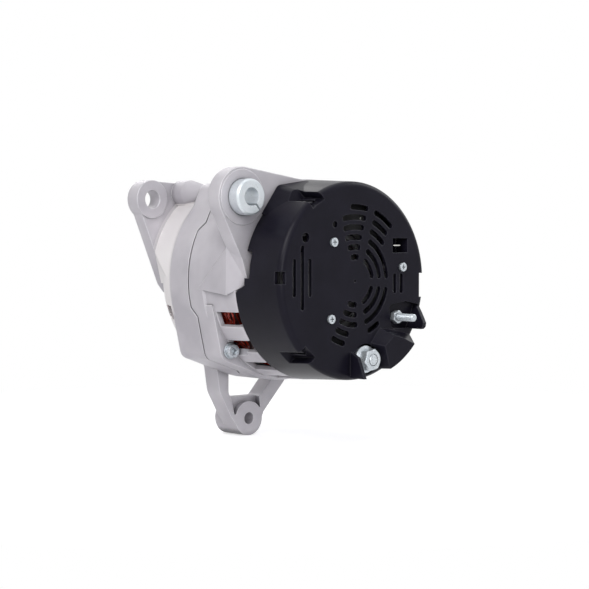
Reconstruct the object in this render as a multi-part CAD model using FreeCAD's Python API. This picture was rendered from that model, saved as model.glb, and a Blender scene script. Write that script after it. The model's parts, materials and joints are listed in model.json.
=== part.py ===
import FreeCAD, Part
import math
import os
from FreeCAD import Vector

# Compact car alternator. Y is the rotor axis and points at the drive end, X points right as seen
# from the rear, and Z points up. Stations are distances along Y from the rear face of the plastic
# cover. The written parts have their origin on the rotor axis at the middle of the belt grooves.

# Driving radii: the stator core, the bracket round it and the cover behind it
stator_radius = 66.0
bracket_wall = 4.2
body_radius = stator_radius + 3.5
cover_radius = body_radius - 2.5
cover_face_radius = cover_radius - 2.0

# Rear cover
cover_corner = 4.0
cover_wall = 2.5
cover_depth = 42.0
cover_notch_depth = 33.7
cover_notch_angles = (99.0, 178.0)
corner_notch_depth = 28.8
corner_notch_angle = 162.5
heel_relief = ((33.4, 4.0), (33.4, -2.4), (42.5, -7.4), (44.0, -7.4), (44.0, 4.0))
wing_x = -37.6
wing_z = cover_radius - 4.4
wing_start = 9.0
wing_rear_share = 0.89
vent_first_radius = 15.65
vent_pitch = 6.55
vent_width = 3.8
vent_groups = (
    ((77, 105), (77, 107), (77, 108), (76.5, 107.5), (76, 105.5), (75.5, 95)),
    ((5, 60), (3, 63.5), (2, 65.5), (42, 68), (46, 68), (46, 69)),
    ((-67, -12.5), (-70, -10), (-73, -9), (-71, -51.6)),
    ((-115, -83), (-118, -85), (-119, -85), (-119.3, -98.5), (-120, -102)),
)
regulator_slots = ((-53.0, -9.5, 15.0), (-46.0, -18.0, 23.5), (-39.7, -9.5, 15.0))
right_slots = ((36.5, -9.0, 4.4), (42.8, -9.0, 4.4))
slot_width = 3.0
clip_angles = (122.8, 228.5)
clip_width = 11.5
clip_reach = 24.0
clip_floor_radius = cover_radius - 7.5
shroud_height = 9.5
fin_height = 11.5
gusset_height = 13.0

# Fasteners of the cover and its inner pillars
cover_screw_places = ((-19.4, 25.4), (-21.8, -24.4), (43.5, 8.5))
cover_screw_radius = 1.75
cover_screw_head_radius = 2.9
cover_screw_length = 16.0
pillar_radius = 4.0
cover_sleeve_end = 9.0

# Brackets
rear_end_radius = body_radius - 2.3
band_start = 72.0
band_step = 1.2
full_band_angles = (120.0, 170.0, 184.8)
rear_wall_station = 42.0
rear_wall_thickness = 5.0
split_station = 88.0
split_gap = 1.2
tongue_length = 4.5
tongue_tip_half = 25.5
tongue_root_half = 31.0
shoulder_station = 107.7
shoulder_radius = body_radius - 11.7
shoulder_profile = ((body_radius - 3.5, 119.0), (body_radius - 9.0, 127.0))
shoulder_fillet = 8.0
flare_step = 0.9
flare_radius = body_radius - 2.5
flare_angles = (118.0, 183.0)
front_wall_station = 131.0
front_wall_thickness = 5.0
front_face_radius = shoulder_radius - 3.8
window_count = 20
window_first_angle = 202.0
window_spread = 9.0
rear_window_end = 64.0
front_window_start = 112.0
front_window_end = 126.0

# Through bolts
bolt_angles = (222.0, 312.0, 42.0)
lug_bolt_angle = 125.0
bolt_circle = body_radius + 0.5
bolt_radius = 2.5
bolt_head_radius = 4.3
bolt_flange_radius = 5.3
bolt_flange_height = 1.4
bolt_head_height = 5.0
bolt_seat_station = 66.0
bolt_end_station = 110.0
boss_radius = 7.5
flank_sink = 0.6
front_boss_end = 114.0
lug_bolt_seat = 119.0
lug_bolt_end = 70.0
hump_radius = 9.0
hump_circle = bolt_circle + 1.5
hump_start = 104.0
hump_start_radius = 5.0
hump_full_station = 121.0

# Pivot lugs and the split bushing
lug_x = 2.1 - body_radius
lug_z = body_radius - 15.1
rear_lug_radius = 19.5
rear_lug_station = 34.0
rear_lug_thickness = 11.0
rim_inner_radius = rear_end_radius - 9.2
rim_last_angle = 171.0
bushing_radius = 11.75
bushing_bore = 6.0
bushing_stand_out = 9.3
bushing_slot = 1.4
bushing_slot_angle = -50.0
front_lug_radius = 13.0
front_lug_bore = 6.25
front_lug_station = 130.0
front_lug_end = 141.0
front_web_step = 1.4

# Adjusting ear under the drive end bracket
ear_z = -body_radius - 29.4
ear_boss_radius = 12.0
ear_bore = 4.25
ear_start = 108.0
ear_end = 131.0
ear_leg_end = 122.0
ear_window_left = -18.5
ear_window_right = 11.0
ear_window_drop = 14.1
ear_web_recess = 5.0

# Shaft and bearings
shaft_radius = 8.5
shaft_core_radius = 10.0
shaft_tail_radius = 4.0
rear_bearing_station = 33.0
rear_bearing_width = 10.0
rear_bearing_radius = 17.5
rear_ball_radius = 2.38
rear_ball_count = 10
bearing_sleeve_wall = 0.8
retainer_screw_radius = 2.0
retainer_thickness = 2.2
front_bearing_station = 124.0
front_bearing_width = 14.0
front_bearing_radius = 23.5
front_ball_radius = 4.3
front_ball_count = 8
race_share = 0.3
ball_clearance = 0.05
cage_wall = 1.8
cage_rim = 0.9

# Stator
air_gap = 0.4
stator_length = 32.0
stator_slot_count = 36
stator_slot_depth = 11.0
stator_slot_width = 4.4
stator_back_iron = 6.0
stator_fit = 0.05
winding_overhang_rear = 17.0
winding_overhang_front = 10.0

# Rotor
claw_radius = stator_radius - stator_back_iron - stator_slot_depth - air_gap
claw_count = 6
rotor_start = 72.0
pole_disc = 10.0
yoke_length = 18.0
claw_gap = 3.0
yoke_radius = claw_radius - 21.6
claw_root_half = 11.0
claw_tip_half = 4.5
coil_radius = claw_radius - 7.1
bobbin_wall = 1.3
fan_radius = claw_radius - 2.1
fan_plate = 1.5
rear_fan_blade = 8.5
front_fan_blade = 9.0
fan_blade_count = 11
fan_blade_wall = 1.4

# Slip rings and brushes
slip_ring_radius = 7.5
slip_ring_width = 6.0
slip_ring_wall = 1.6
outer_ring_station = 8.5
inner_ring_station = 17.5
brush_width = 4.8
brush_height = 6.4
brush_length = 16.0
brush_play = 0.1
brush_gap = 0.05
spring_radius = 2.1
spring_wall = 0.5

# Regulator with brush holder
regulator_left = 8.0 - cover_face_radius
regulator_right = -31.0
regulator_half_height = 21.0
regulator_station = 11.0
regulator_depth = 18.0
regulator_ear_z = 26.0
regulator_screw_x = -46.0
holder_end = -9.4
holder_half_height = 7.5
sink_fin_count = 5

# Rectifier
rectifier_inner_radius = 31.0
rectifier_outer_radius = cover_face_radius - 7.0
rectifier_half_angle = 108.0
negative_plate_station = 35.0
positive_plate_station = 23.0
board_station = 14.0
plate_thickness = 3.0
diode_radius = 6.35
diode_circle = 45.0
negative_diode_angles = (-70.0, -38.0, 50.0, 84.0)
positive_diode_angles = (-54.0, 36.0, 66.0)
phase_lead_angles = (-33.0, 27.0, 87.0)
phase_lead_radius = 0.8
rectifier_screw_angles = (-98.0, -14.0, 98.0)
rectifier_screw_circle = 46.0
rectifier_screw_radius = 2.0

# Terminals
b_plus_x = 9.5
b_plus_z = 13.2 - cover_face_radius
b_plus_radius = 4.0
b_plus_tip = -8.0
b_plus_nut_height = 8.0
b_plus_across_flats = 13.0
b_plus_flange_radius = 8.95
d_plus_x = cover_face_radius - 24.5
d_plus_z = -25.0
d_plus_radius = 2.5
d_plus_core_radius = 2.3
d_plus_tip = -14.6
d_plus_floor = 4.0
d_plus_nut_height = 4.0
d_plus_across_flats = 8.0
socket_x = (34.5, 48.6)
socket_z = (18.2, 27.9)
socket_depth = 13.0
blade_width = 6.3
blade_thickness = 0.8

# Pulley
pulley_radius = 28.0
pulley_start = 142.5
groove_count = 6
groove_pitch = 3.56
groove_depth = 3.2
rim_width = 1.8
pulley_nut_flats = 24.0
pulley_nut_height = 10.0
pulley_washer = 2.0
pulley_web_recess = 6.0
thread_radius = 8.0

EPSILON = 0.01
ALONG = Vector(0, 1, 0)
ORIGIN = Vector(0, 0, 0)


# Geometry helpers

def polar(radius, angle):
    turn = math.radians(angle)
    return radius * math.cos(turn), radius * math.sin(turn)


def outline(points, place):
    """Closed wire through (u, v) or (u, v, fillet) points, put in space by place."""
    corners = [tuple(p) + (0.0,) * (3 - len(p)) for p in points]
    edges = []
    starts = []
    for i, (u, v, fillet) in enumerate(corners):
        before = corners[i - 1]
        after = corners[(i + 1) % len(corners)]
        if not fillet:
            starts.append(((u, v), (u, v), None))
            continue
        back = (before[0] - u, before[1] - v)
        on = (after[0] - u, after[1] - v)
        back_size = math.hypot(*back)
        on_size = math.hypot(*on)
        back = (back[0] / back_size, back[1] / back_size)
        on = (on[0] / on_size, on[1] / on_size)
        half = math.acos(max(-1.0, min(1.0, back[0] * on[0] + back[1] * on[1]))) / 2
        reach = min(fillet / math.tan(half), 0.49 * back_size, 0.49 * on_size)
        radius = reach * math.tan(half)
        bisector = (back[0] + on[0], back[1] + on[1])
        size = math.hypot(*bisector)
        to_middle = radius / math.sin(half) - radius
        middle = (u + bisector[0] / size * to_middle, v + bisector[1] / size * to_middle)
        first = (u + back[0] * reach, v + back[1] * reach)
        last = (u + on[0] * reach, v + on[1] * reach)
        starts.append((first, last, middle))
    for i, (first, last, middle) in enumerate(starts):
        if middle:
            edges.append(Part.Arc(place(*first), place(*middle), place(*last)).toShape())
        following = starts[(i + 1) % len(starts)][0]
        if math.dist(last, following) > EPSILON / 10:
            edges.append(Part.LineSegment(place(*last), place(*following)).toShape())
    return Part.Wire(edges)


def lathe(points):
    """Solid turned about the rotor axis from (radius, station) points."""
    wire = outline(points, lambda radius, station: Vector(radius, station, 0))
    return Part.Face(wire).revolve(ORIGIN, ALONG, 360)


def slab(points, start, end):
    """Plate with an (x, z) outline between two stations."""
    wire = outline(points, lambda x, z: Vector(x, start, z))
    return Part.Face(wire).extrude(Vector(0, end - start, 0))


def side_plate(points, left, right):
    """Plate with a (station, z) outline between two x values."""
    wire = outline(points, lambda station, z: Vector(left, station, z))
    return Part.Face(wire).extrude(Vector(right - left, 0, 0))


def rod(radius, start, end, x=0.0, z=0.0):
    return Part.makeCylinder(radius, end - start, Vector(x, start, z), ALONG)


def tube(outer, inner, start, end, x=0.0, z=0.0):
    return rod(outer, start, end, x, z).cut(rod(inner, start, end, x, z))


def block(x0, x1, y0, y1, z0, z1):
    return Part.makeBox(x1 - x0, y1 - y0, z1 - z0, Vector(x0, y0, z0))


def turned(shape, angle):
    """Copy turned about the rotor axis, counted from +X towards +Z."""
    copy = shape.copy()
    copy.rotate(ORIGIN, ALONG, -angle)
    return copy


def joined(shapes):
    shapes = list(shapes)
    if len(shapes) == 1:
        return shapes[0]
    return shapes[0].multiFuse(shapes[1:]).removeSplitter()


def without(shape, tools):
    tools = list(tools)
    return shape.cut(tools) if tools else shape


def flat_sided(corners, faces):
    """Solid with flat faces, each named by the letters of its corners."""
    sides = []
    for face in faces.split():
        loop = [Vector(*corners[letter]) for letter in face + face[0]]
        sides.append(Part.Face(Part.makePolygon(loop)))
    return Part.Solid(Part.Shell(sides))


def sector(inner, outer, first, last, start, end):
    """Part of a ring between two angles and two stations."""
    middle = (first + last) / 2

    def at(radius, angle):
        x, z = polar(radius, angle)
        return Vector(x, start, z)

    edges = [Part.Arc(at(outer, first), at(outer, middle), at(outer, last)).toShape()]
    edges.append(Part.LineSegment(at(outer, last), at(inner, last)).toShape())
    edges.append(Part.Arc(at(inner, last), at(inner, middle), at(inner, first)).toShape())
    edges.append(Part.LineSegment(at(inner, first), at(outer, first)).toShape())
    return Part.Face(Part.Wire(edges)).extrude(Vector(0, end - start, 0))


def arc_slot(radius, width, first, last, start, end):
    """Curved slot with round ends, whose angles include the ends."""
    half = width / 2
    tip = math.degrees(half / radius)
    first += tip
    last -= tip
    middle = (first + last) / 2

    def at(distance, angle):
        x, z = polar(distance, angle)
        return Vector(x, start, z)

    outer_arc = Part.Arc(at(radius + half, first), at(radius + half, middle), at(radius + half, last))
    last_cap = Part.Arc(at(radius + half, last), at(radius, last + tip), at(radius - half, last))
    inner_arc = Part.Arc(at(radius - half, last), at(radius - half, middle), at(radius - half, first))
    first_cap = Part.Arc(at(radius - half, first), at(radius, first - tip), at(radius + half, first))
    wire = Part.Wire([arc.toShape() for arc in (outer_arc, last_cap, inner_arc, first_cap)])
    return Part.Face(wire).extrude(Vector(0, end - start, 0))


def upright_slot(x, low, high, width, start, end):
    half = width / 2
    corners = [(x - half, low, half), (x + half, low, half), (x + half, high, half), (x - half, high, half)]
    return slab(corners, start, end)


def hexagon(flats, start, end, x=0.0, z=0.0, turn=0.0):
    corners = []
    for i in range(6):
        dx, dz = polar(flats / math.sqrt(3), turn + 60 * i)
        corners.append((x + dx, z + dz))
    return slab(corners, start, end)


def nut(flats, bore, start, end, x, z, turn=0.0):
    """Hexagon nut with its corners chamfered on the rear side."""
    corner = flats / math.sqrt(3)
    slope = 0.5 * (corner - flats / 2)
    cone = Part.makeCone(flats / 2 * 0.97, corner + EPSILON, 2 * slope, Vector(x, start, z), ALONG)
    keep = cone.fuse(rod(corner + EPSILON, start + 2 * slope, end, x, z))
    return hexagon(flats, start, end, x, z, turn).common(keep).cut(rod(bore, start, end, x, z))


def export(name, shape):
    placed = shape.copy()
    placed.translate(Vector(0, -belt_station, 0))
    placed.exportStep("parts/" + name + ".step")


# Derived stations and radii shared by several pieces

belt_station = pulley_start + rim_width + groove_count * groove_pitch / 2
pulley_end = pulley_start + 2 * rim_width + groove_count * groove_pitch
rear_wall_end = rear_wall_station + rear_wall_thickness
front_wall_end = front_wall_station + front_wall_thickness
rotor_end = rotor_start + 2 * pole_disc + yoke_length
stator_inner = claw_radius + air_gap
stator_start = (rotor_start + rotor_end - stator_length) / 2
stator_end = stator_start + stator_length
rear_lug_end = rear_lug_station + rear_lug_thickness
bushing_start = rear_lug_station - bushing_stand_out
rear_bearing_end = rear_bearing_station + rear_bearing_width
front_bearing_end = front_bearing_station + front_bearing_width
plate_end = positive_plate_station + plate_thickness
board_end = board_station + plate_thickness
regulator_end = regulator_station + regulator_depth
winding_inner = stator_inner + 2.0
winding_outer = stator_inner + stator_slot_depth - 0.5
rear_race_step = (rear_bearing_radius - shaft_radius) * race_share
front_race_step = (front_bearing_radius - shaft_radius) * race_share
rear_seat_radius = rear_bearing_radius + bearing_sleeve_wall
rear_hub_radius = rear_seat_radius + 3.5
front_hub_radius = front_bearing_radius + 5.5
phase_lead_circle = winding_outer - 5.0
terminal_x = (socket_x[0] + socket_x[1]) / 2
terminal_z = (socket_z[0] + socket_z[1]) / 2
b_plus_sleeve_radius = b_plus_radius + 2.8
b_plus_seat = b_plus_tip + b_plus_nut_height + 0.4
b_plus_washer_end = b_plus_seat + 1.6
tail_start = outer_ring_station - 1.5
spacer_start = rotor_end + fan_plate
pulley_seat_station = pulley_end - pulley_web_recess


# Rear cover

def clip_pocket(angle, grow):
    """Pocket along the wall for the spring clip of the cover, open at the rear corner."""
    half = clip_width / 2 + grow
    floor = clip_floor_radius - grow
    top = cover_radius + 6.0
    run_out = clip_reach + grow
    wedge = [(-EPSILON - grow, floor), (run_out - 6.0, floor + 1.5), (run_out, top), (-EPSILON - grow, top)]
    wire = outline(wedge, lambda station, radius: Vector(radius, station, -half))
    pocket = Part.Face(wire).extrude(Vector(0, 0, 2 * half))
    return turned(pocket, angle)


def clip_ribs(angle):
    ribs = []
    for offset in (-2.6, 0.6):
        rib = block(clip_floor_radius - 1.0, clip_floor_radius + 2.2, 4.0, clip_reach - 4.0,
                    offset, offset + 1.6)
        ribs.append(turned(rib, angle))
    return ribs


def wing(grow):
    """Squared corner of the cover beside the pivot lug, which grows out of the round wall."""
    def section(share, station):
        corner = [
            (-13.0, 50.0),
            (-13.0, (cover_radius - 0.8 - grow) * share),
            ((wing_x + grow * 0.6) * share, (wing_z - grow) * share, 6.0),
            (-51.5 * share, (44.0 - grow) * share),
            (-36.0, 34.0),
        ]
        return outline(corner, lambda x, z: Vector(x, station, z))

    start = wing_start + grow
    grown = Part.makeLoft([section(wing_rear_share, start), section(1.0, cover_notch_depth)], True, True)
    last = Part.Face(section(1.0, cover_notch_depth))
    full = last.extrude(Vector(0, cover_depth - cover_notch_depth + grow, 0))
    return joined([grown, full])


def shroud():
    """Raised block between the two studs, with a slope towards each of them."""
    foot = [(52.0, -36.5), (36.0, -33.0), (22.0, -31.0), (14.0, -41.0), (21.5, -57.5), (30.0, -68.0),
            (62.0, -46.0)]
    crown = [(45.5, -42.5), (32.0, -37.0), (27.0, -36.5), (18.5, -43.0), (22.5, -56.5), (30.0, -68.0),
             (60.0, -50.0)]
    low = outline(foot, lambda x, z: Vector(x, cover_wall / 2, z))
    high = outline(crown, lambda x, z: Vector(x, -shroud_height, z))
    hill = Part.makeLoft([low, high], True, True)
    return hill.common(rod(cover_face_radius - 2.1, -shroud_height - 1, cover_wall))


def stud_fin():
    """Curved wall that shields the signal stud on its right."""
    wall = sector(cover_face_radius - 4.6, cover_face_radius - 2.1, -33.0, -14.0,
                  -fin_height - 1, cover_corner)
    side = [
        (cover_corner, -15.0),
        (0.0, -18.5),
        (-fin_height + 0.8, -29.0, 1.0),
        (-fin_height, -31.5, 1.0),
        (-fin_height + 1.0, -33.0),
        (cover_corner, -33.0),
    ]
    return wall.common(side_plate(side, 40.0, cover_radius))


def cable_gusset():
    """Upright web beside the battery stud."""
    side = [
        (cover_wall, -46.0),
        (0.0, -46.5),
        (-gusset_height * 0.55, -50.0),
        (-gusset_height, -cover_face_radius + 1.5),
        (cover_wall, -cover_face_radius + 1.5),
    ]
    web = side_plate(side, -4.2, -1.8)
    return web.common(rod(cover_face_radius - 0.6, -gusset_height - 1, cover_wall + 1))


def make_rear_cover():
    skin = lathe([
        (0, 0),
        (cover_face_radius, 0, cover_corner),
        (cover_radius, cover_depth),
        (0, cover_depth),
    ])
    skin = joined([skin, wing(0)])
    pockets = [clip_pocket(angle, 0) for angle in clip_angles]
    skin = joined([without(skin, pockets)] + [rib for angle in clip_angles for rib in clip_ribs(angle)])
    hollow = lathe([
        (0, cover_wall),
        (cover_face_radius - cover_wall, cover_wall, cover_corner - 1),
        (cover_radius - cover_wall, cover_depth + 1),
        (0, cover_depth + 1),
    ])
    hollow = joined([hollow, wing(cover_wall)])
    stud_floor = block(31.0, 70.0, -EPSILON, d_plus_floor + cover_wall, -35.0, -15.0)
    hollow = without(hollow, [clip_pocket(angle, cover_wall) for angle in clip_angles] + [stud_floor])
    cover = skin.cut(hollow)
    cover = joined([cover, shroud(), cable_gusset()])

    # The stud recess is sunk into the face
    recess = slab([(31.0, -16.5, 3.0), (47.0, -14.5, 3.0), (70.0, -19.0), (70.0, -32.5), (33.5, -32.5, 3.0)],
                  -fin_height - 5, d_plus_floor)
    recess = recess.common(rod(cover_face_radius - 3.5, -30, d_plus_floor))
    cover = joined([cover.cut(recess), stud_fin()])

    collar = block(socket_x[0] - 1.6, socket_x[1] + 1.6, cover_wall / 2, socket_depth,
                   socket_z[0] - 1.6, socket_z[1] + 1.6)
    sleeves = [rod(pillar_radius, cover_wall / 2, cover_sleeve_end, x, z) for x, z in cover_screw_places]
    cover = joined([cover, collar] + sleeves)

    cuts = []
    for group in vent_groups:
        for row, (first, last) in enumerate(group):
            radius = vent_first_radius + row * vent_pitch
            cuts.append(arc_slot(radius, vent_width, first, last, -2, cover_wall + 2))
    for x, low, high in regulator_slots + right_slots:
        cuts.append(upright_slot(x, low, high, slot_width, -2, cover_wall + 2))
    cuts.append(rod(3.2, -2, cover_wall + 2, -43.2, 28.4))
    cuts.append(rod(2.2, -2, cover_wall + 2, -17.8, 36.9))
    cuts.append(rod(1.0, -2, 0.8))
    cuts.append(block(-70.0, -60.5, -2, cover_corner + 1.5, -1.0, 7.0))
    cuts.append(block(59.8, 70.0, -2, 10.0, -11.9, 4.3))
    cuts.append(block(socket_x[0], socket_x[1], -2, socket_depth - 2.0, *socket_z))
    slot_half = blade_width / 2 + 0.2
    cuts.append(block(terminal_x - slot_half, terminal_x + slot_half, 0, socket_depth + 1,
                      terminal_z - blade_thickness, terminal_z + blade_thickness))
    cuts.append(rod(b_plus_flange_radius + 1.4, -4, cover_wall + 1, b_plus_x, b_plus_z))
    cuts.append(rod(d_plus_radius + 0.15, -2, d_plus_floor + cover_wall + 1, d_plus_x, d_plus_z))
    for x, z in cover_screw_places:
        cuts.append(rod(cover_screw_radius + 0.2, -2, cover_sleeve_end + 1, x, z))
        cuts.append(rod(cover_screw_head_radius + 0.3, -2, 0.6, x, z))
    notch = sector(cover_face_radius - 4, 90, cover_notch_angles[0], cover_notch_angles[1],
                   cover_notch_depth, cover_depth + 2)
    cuts.append(notch)
    cuts.append(sector(cover_face_radius - 6, 90, corner_notch_angle, cover_notch_angles[1],
                       corner_notch_depth, cover_depth + 2))
    cuts.append(side_plate(heel_relief, -cover_radius - 5, 6.0 - cover_face_radius))
    return without(cover, cuts)


def pan_screw(radius, head_radius, seat, length, x, z):
    """Screw whose head stands towards the rear, with a cross drive."""
    head_height = head_radius * 0.75
    profile = rod(head_radius, seat - head_height, seat, x, z)
    recess = block(x - head_radius * 0.55, x + head_radius * 0.55, seat - head_height - 1,
                   seat - head_height * 0.4, z - head_radius * 0.12, z + head_radius * 0.12)
    across = recess.copy()
    across.rotate(Vector(x, 0, z), ALONG, 90)
    return profile.cut([recess, across]).fuse(rod(radius, seat, seat + length, x, z)).removeSplitter()


def make_cover_screws():
    return Part.makeCompound([
        pan_screw(cover_screw_radius, cover_screw_head_radius, 0.6, cover_screw_length, x, z)
        for x, z in cover_screw_places
    ])


# Brackets

def window_angles():
    return [window_first_angle + i * 360 / window_count for i in range(window_count)]


def between(angle, low, high):
    return low <= (angle - low) % 360 + low <= high


def bolt_places():
    return [polar(bolt_circle, angle) for angle in bolt_angles]


def bolt_pad(angle, start, end):
    """Boss round a through bolt with flat flanks that run into the shell."""
    sunk = body_radius - flank_sink
    spread = math.acos((sunk - boss_radius) / bolt_circle)
    on_shell = (sunk * math.cos(spread), sunk * math.sin(spread))
    on_boss = (bolt_circle + boss_radius * math.cos(spread), boss_radius * math.sin(spread))
    corners = [(on_shell[0], -on_shell[1]), (on_boss[0], -on_boss[1]), on_boss, on_shell]
    pad = joined([slab(corners, start, end), rod(boss_radius, start, end, bolt_circle)])
    return turned(pad, angle)


def front_side(shift):
    """Space ahead of the parting surface, which steps back at each through bolt."""
    start = split_station + shift
    spaces = [rod(120, start, 200)]
    corners = [
        (-tongue_root_half + shift, start),
        (-tongue_tip_half + shift, start - tongue_length),
        (tongue_tip_half - shift, start - tongue_length),
        (tongue_root_half - shift, start),
        (tongue_root_half - shift, start + 1),
        (-tongue_root_half + shift, start + 1),
    ]
    wire = outline(corners, lambda across, station: Vector(45, station, across))
    tongue = Part.Face(wire).extrude(Vector(50, 0, 0))
    spaces += [turned(tongue, angle) for angle in bolt_angles + (lug_bolt_angle,)]
    return joined(spaces)


def rear_lug_solid():
    """Lug plate with its outer edge running straight down to the corner beside the cover."""
    plate = [
        (-13.0, 66.2),
        (lug_x + 2.8, lug_z + rear_lug_radius - 0.2),
        (lug_x - rear_lug_radius - 0.4, lug_z + 12.0, rear_lug_radius * 0.9),
        (lug_x - rear_lug_radius * 0.873, lug_z - rear_lug_radius * 0.489),
        (-62.2, 4.0, 7.0),
        (-52.0, -1.5),
        (-40.0, -1.5),
        (-13.0, 40.0),
    ]
    flat = slab(plate, rear_lug_station, rear_lug_end)
    end = rod(rear_lug_radius, rear_lug_station, rear_lug_end, lug_x, lug_z)
    keep_top = slab([(-120, -10), (-120, lug_z), (lug_x, lug_z), (lug_x, 90), (0, 90), (0, -10)],
                    rear_lug_station - 1, rear_lug_end + 1)
    return joined([flat.common(keep_top), end])


def lug_heel():
    """Foot of the rear lug, whose flat flanks run from the lug's corner down to the round shell."""
    corners = {
        "a": (2.0 - body_radius - 3.5, rear_lug_station, 24.0),
        "b": (6.9 - body_radius, rear_lug_station, -1.6),
        "c": (-0.4 - body_radius, rear_lug_station + 14.2, -8.9),
        "d": (0.2 - body_radius, rear_lug_station + 44.5, -5.8),
        "e": (-2.3 - body_radius, rear_lug_end, 22.0),
        "t": (19.5 - body_radius, rear_lug_end, 38.0),
        "u": (19.5 - body_radius, rear_lug_station, 24.0),
        "v": (19.5 - body_radius, rear_lug_station, -1.6),
        "w": (19.5 - body_radius, rear_lug_station + 14.2, -8.9),
    }
    return flat_sided(corners, "abe bce cde edt aet atu auvb bvwc cwd dwt utw uwv")


def make_rear_bracket():
    shell = lathe([
        (0, rear_wall_station),
        (rear_end_radius, rear_wall_station, 1.5),
        (body_radius - band_step, band_start),
        (body_radius, band_start + band_step),
        (body_radius, split_station),
        (0, split_station),
    ])
    rim = sector(rim_inner_radius - 2.0, rear_end_radius - 0.4, cover_notch_angles[0] + 2, rim_last_angle,
                 rear_lug_station + 0.2, rear_wall_station + 2.5)
    pads = [bolt_pad(angle, bolt_seat_station, split_station) for angle in bolt_angles + (lug_bolt_angle,)]
    first, middle, last = full_band_angles
    inner = body_radius - bracket_wall
    full_band = [
        sector(inner, body_radius, first, middle, rear_lug_end - 1, band_start + 2 * band_step),
        sector(inner, body_radius, middle - 1, last, rear_lug_end + 5, band_start + 2 * band_step),
    ]
    outer = shell
    for piece in pads + [rim] + full_band + [rear_lug_solid(), lug_heel()]:
        outer = joined([outer, piece])
    outer = outer.cut(front_side(-split_gap / 2))
    cavity = lathe([
        (0, rear_wall_end),
        (body_radius - bracket_wall - 0.8, rear_wall_end, 3.0),
        (body_radius - bracket_wall - 0.8, stator_start),
        (stator_radius + stator_fit, stator_start),
        (stator_radius + stator_fit, split_station + 1),
        (0, split_station + 1),
    ])
    pocket = sector(0.1, rim_inner_radius, cover_notch_angles[0], cover_notch_angles[1] + 8,
                    rear_lug_station - 1, rear_wall_station)
    bracket = outer.cut([cavity, pocket])
    hub = rod(rear_hub_radius, rear_bearing_station - 2.0, rear_wall_end + 1.0)
    root = rear_wall_station + 1
    pillars = [rod(pillar_radius, cover_sleeve_end, root, x, z) for x, z in cover_screw_places]
    for angle in rectifier_screw_angles:
        x, z = polar(rectifier_screw_circle, angle)
        pillars.append(rod(pillar_radius, negative_plate_station + plate_thickness, root, x, z))
    for z in (-regulator_ear_z, regulator_ear_z):
        pillars.append(rod(pillar_radius, regulator_end, root, regulator_screw_x, z))
    cuts = []
    for angle in (18, 54, 90, 162, 198, 270, 306, 342):
        cuts.append(sector(rear_hub_radius + 4.0, 41.0, angle - 10, angle + 10,
                           rear_wall_station - 9, rear_wall_end + 2))
    bracket = joined([bracket.cut(cuts), hub] + pillars)
    cuts = [rod(rear_seat_radius, rear_bearing_station, rear_wall_end + 2), rod(11.0, 20, 60)]
    for angle in window_angles():
        if not between(angle, 105, 190):
            half = window_spread / 2
            cuts.append(sector(61.5, 90, angle - half, angle + half, rear_wall_station - 1, rear_window_end))
    for x, z in bolt_places():
        cuts.append(rod(bolt_radius + 0.1, bolt_seat_station - 1, split_station, x, z))
        cuts.append(rod(bolt_flange_radius + 0.9, rear_wall_end + 6, bolt_seat_station, x, z))
    x, z = polar(bolt_circle, lug_bolt_angle)
    cuts.append(rod(bolt_radius, lug_bolt_end - 1, split_station, x, z))
    for angle in phase_lead_angles:
        x, z = polar(phase_lead_circle, angle)
        cuts.append(rod(phase_lead_radius + 0.8, rear_wall_station - 1, rear_wall_end + 1, x, z))
    for x, z in cover_screw_places:
        cuts.append(rod(cover_screw_radius, cover_sleeve_end - 1, 0.6 + cover_screw_length, x, z))
    for angle in rectifier_screw_angles:
        x, z = polar(rectifier_screw_circle, angle)
        cuts.append(rod(rectifier_screw_radius, 20, rear_wall_end - 1, x, z))
    for z in (-regulator_ear_z, regulator_ear_z):
        cuts.append(rod(rectifier_screw_radius, regulator_end - 1, root, regulator_screw_x, z))
    cuts.append(rod(bushing_radius, rear_lug_station - 5, rear_lug_end + 40, lug_x, lug_z))
    return bracket.cut(cuts)


def ear_solid():
    """Two legs of unlike slope that meet at the ear's boss, with a thinner web between them."""
    top = -body_radius + 19.5
    bottom = -body_radius - ear_window_drop
    outer = [
        (-34.0, top),
        (-29.0, -body_radius + 7.5),
        (-26.3, -body_radius - 9.5, 12.0),
        (-16.5, ear_z + 2.5, 4.0),
        (-8.0, ear_z - 8.5),
        (8.0, ear_z - 8.5),
        (13.5, ear_z + 4.0, 4.0),
        (33.0, -body_radius - 4.5, 8.0),
        (38.5, -body_radius + 7.5),
        (40.0, top),
    ]
    window = [
        (ear_window_left, top + 10),
        (ear_window_left, bottom, 5.0),
        (ear_window_right, bottom, 4.0),
        (ear_window_right + 12.5, bottom + 13.5, 8.0),
        (ear_window_right + 14.5, top + 10),
    ]
    web = [
        (ear_window_left + 2.0, bottom + 0.5),
        (ear_window_right - 1.5, bottom + 0.5),
        (ear_window_right - 0.5, bottom - 8.0),
        (ear_window_left + 5.5, bottom - 12.0),
    ]
    boss = rod(ear_boss_radius, ear_start, ear_end, 0, ear_z)
    legs = slab(outer, ear_start, ear_leg_end).cut(slab(window, ear_start - 1, ear_end + 1))
    legs = legs.cut([
        slab(web, ear_start - 1, ear_start + ear_web_recess),
        rod(shoulder_radius - 4, ear_start - 1, ear_end + 1),
    ])
    return legs, boss


def front_lug_solid():
    plate = [
        (-16.0, 61.5),
        (-26.0, 65.0),
        (-46.0, 65.6),
        (lug_x + 2.0, lug_z + front_lug_radius - 0.6),
        (lug_x, lug_z),
        (-76.1, 46.0),
        (-55.1, -4.0, 8.0),
        (-50.0, -10.0),
        (-30.0, 0.0),
        (-10.0, 40.0),
    ]
    web = slab(plate, front_lug_station + front_web_step, front_lug_end)
    web = web.cut(rod(40.0, front_lug_station, front_lug_end + 1))
    boss = rod(front_lug_radius, front_lug_station, front_lug_end, lug_x, lug_z)
    return joined([web, boss])


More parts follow.
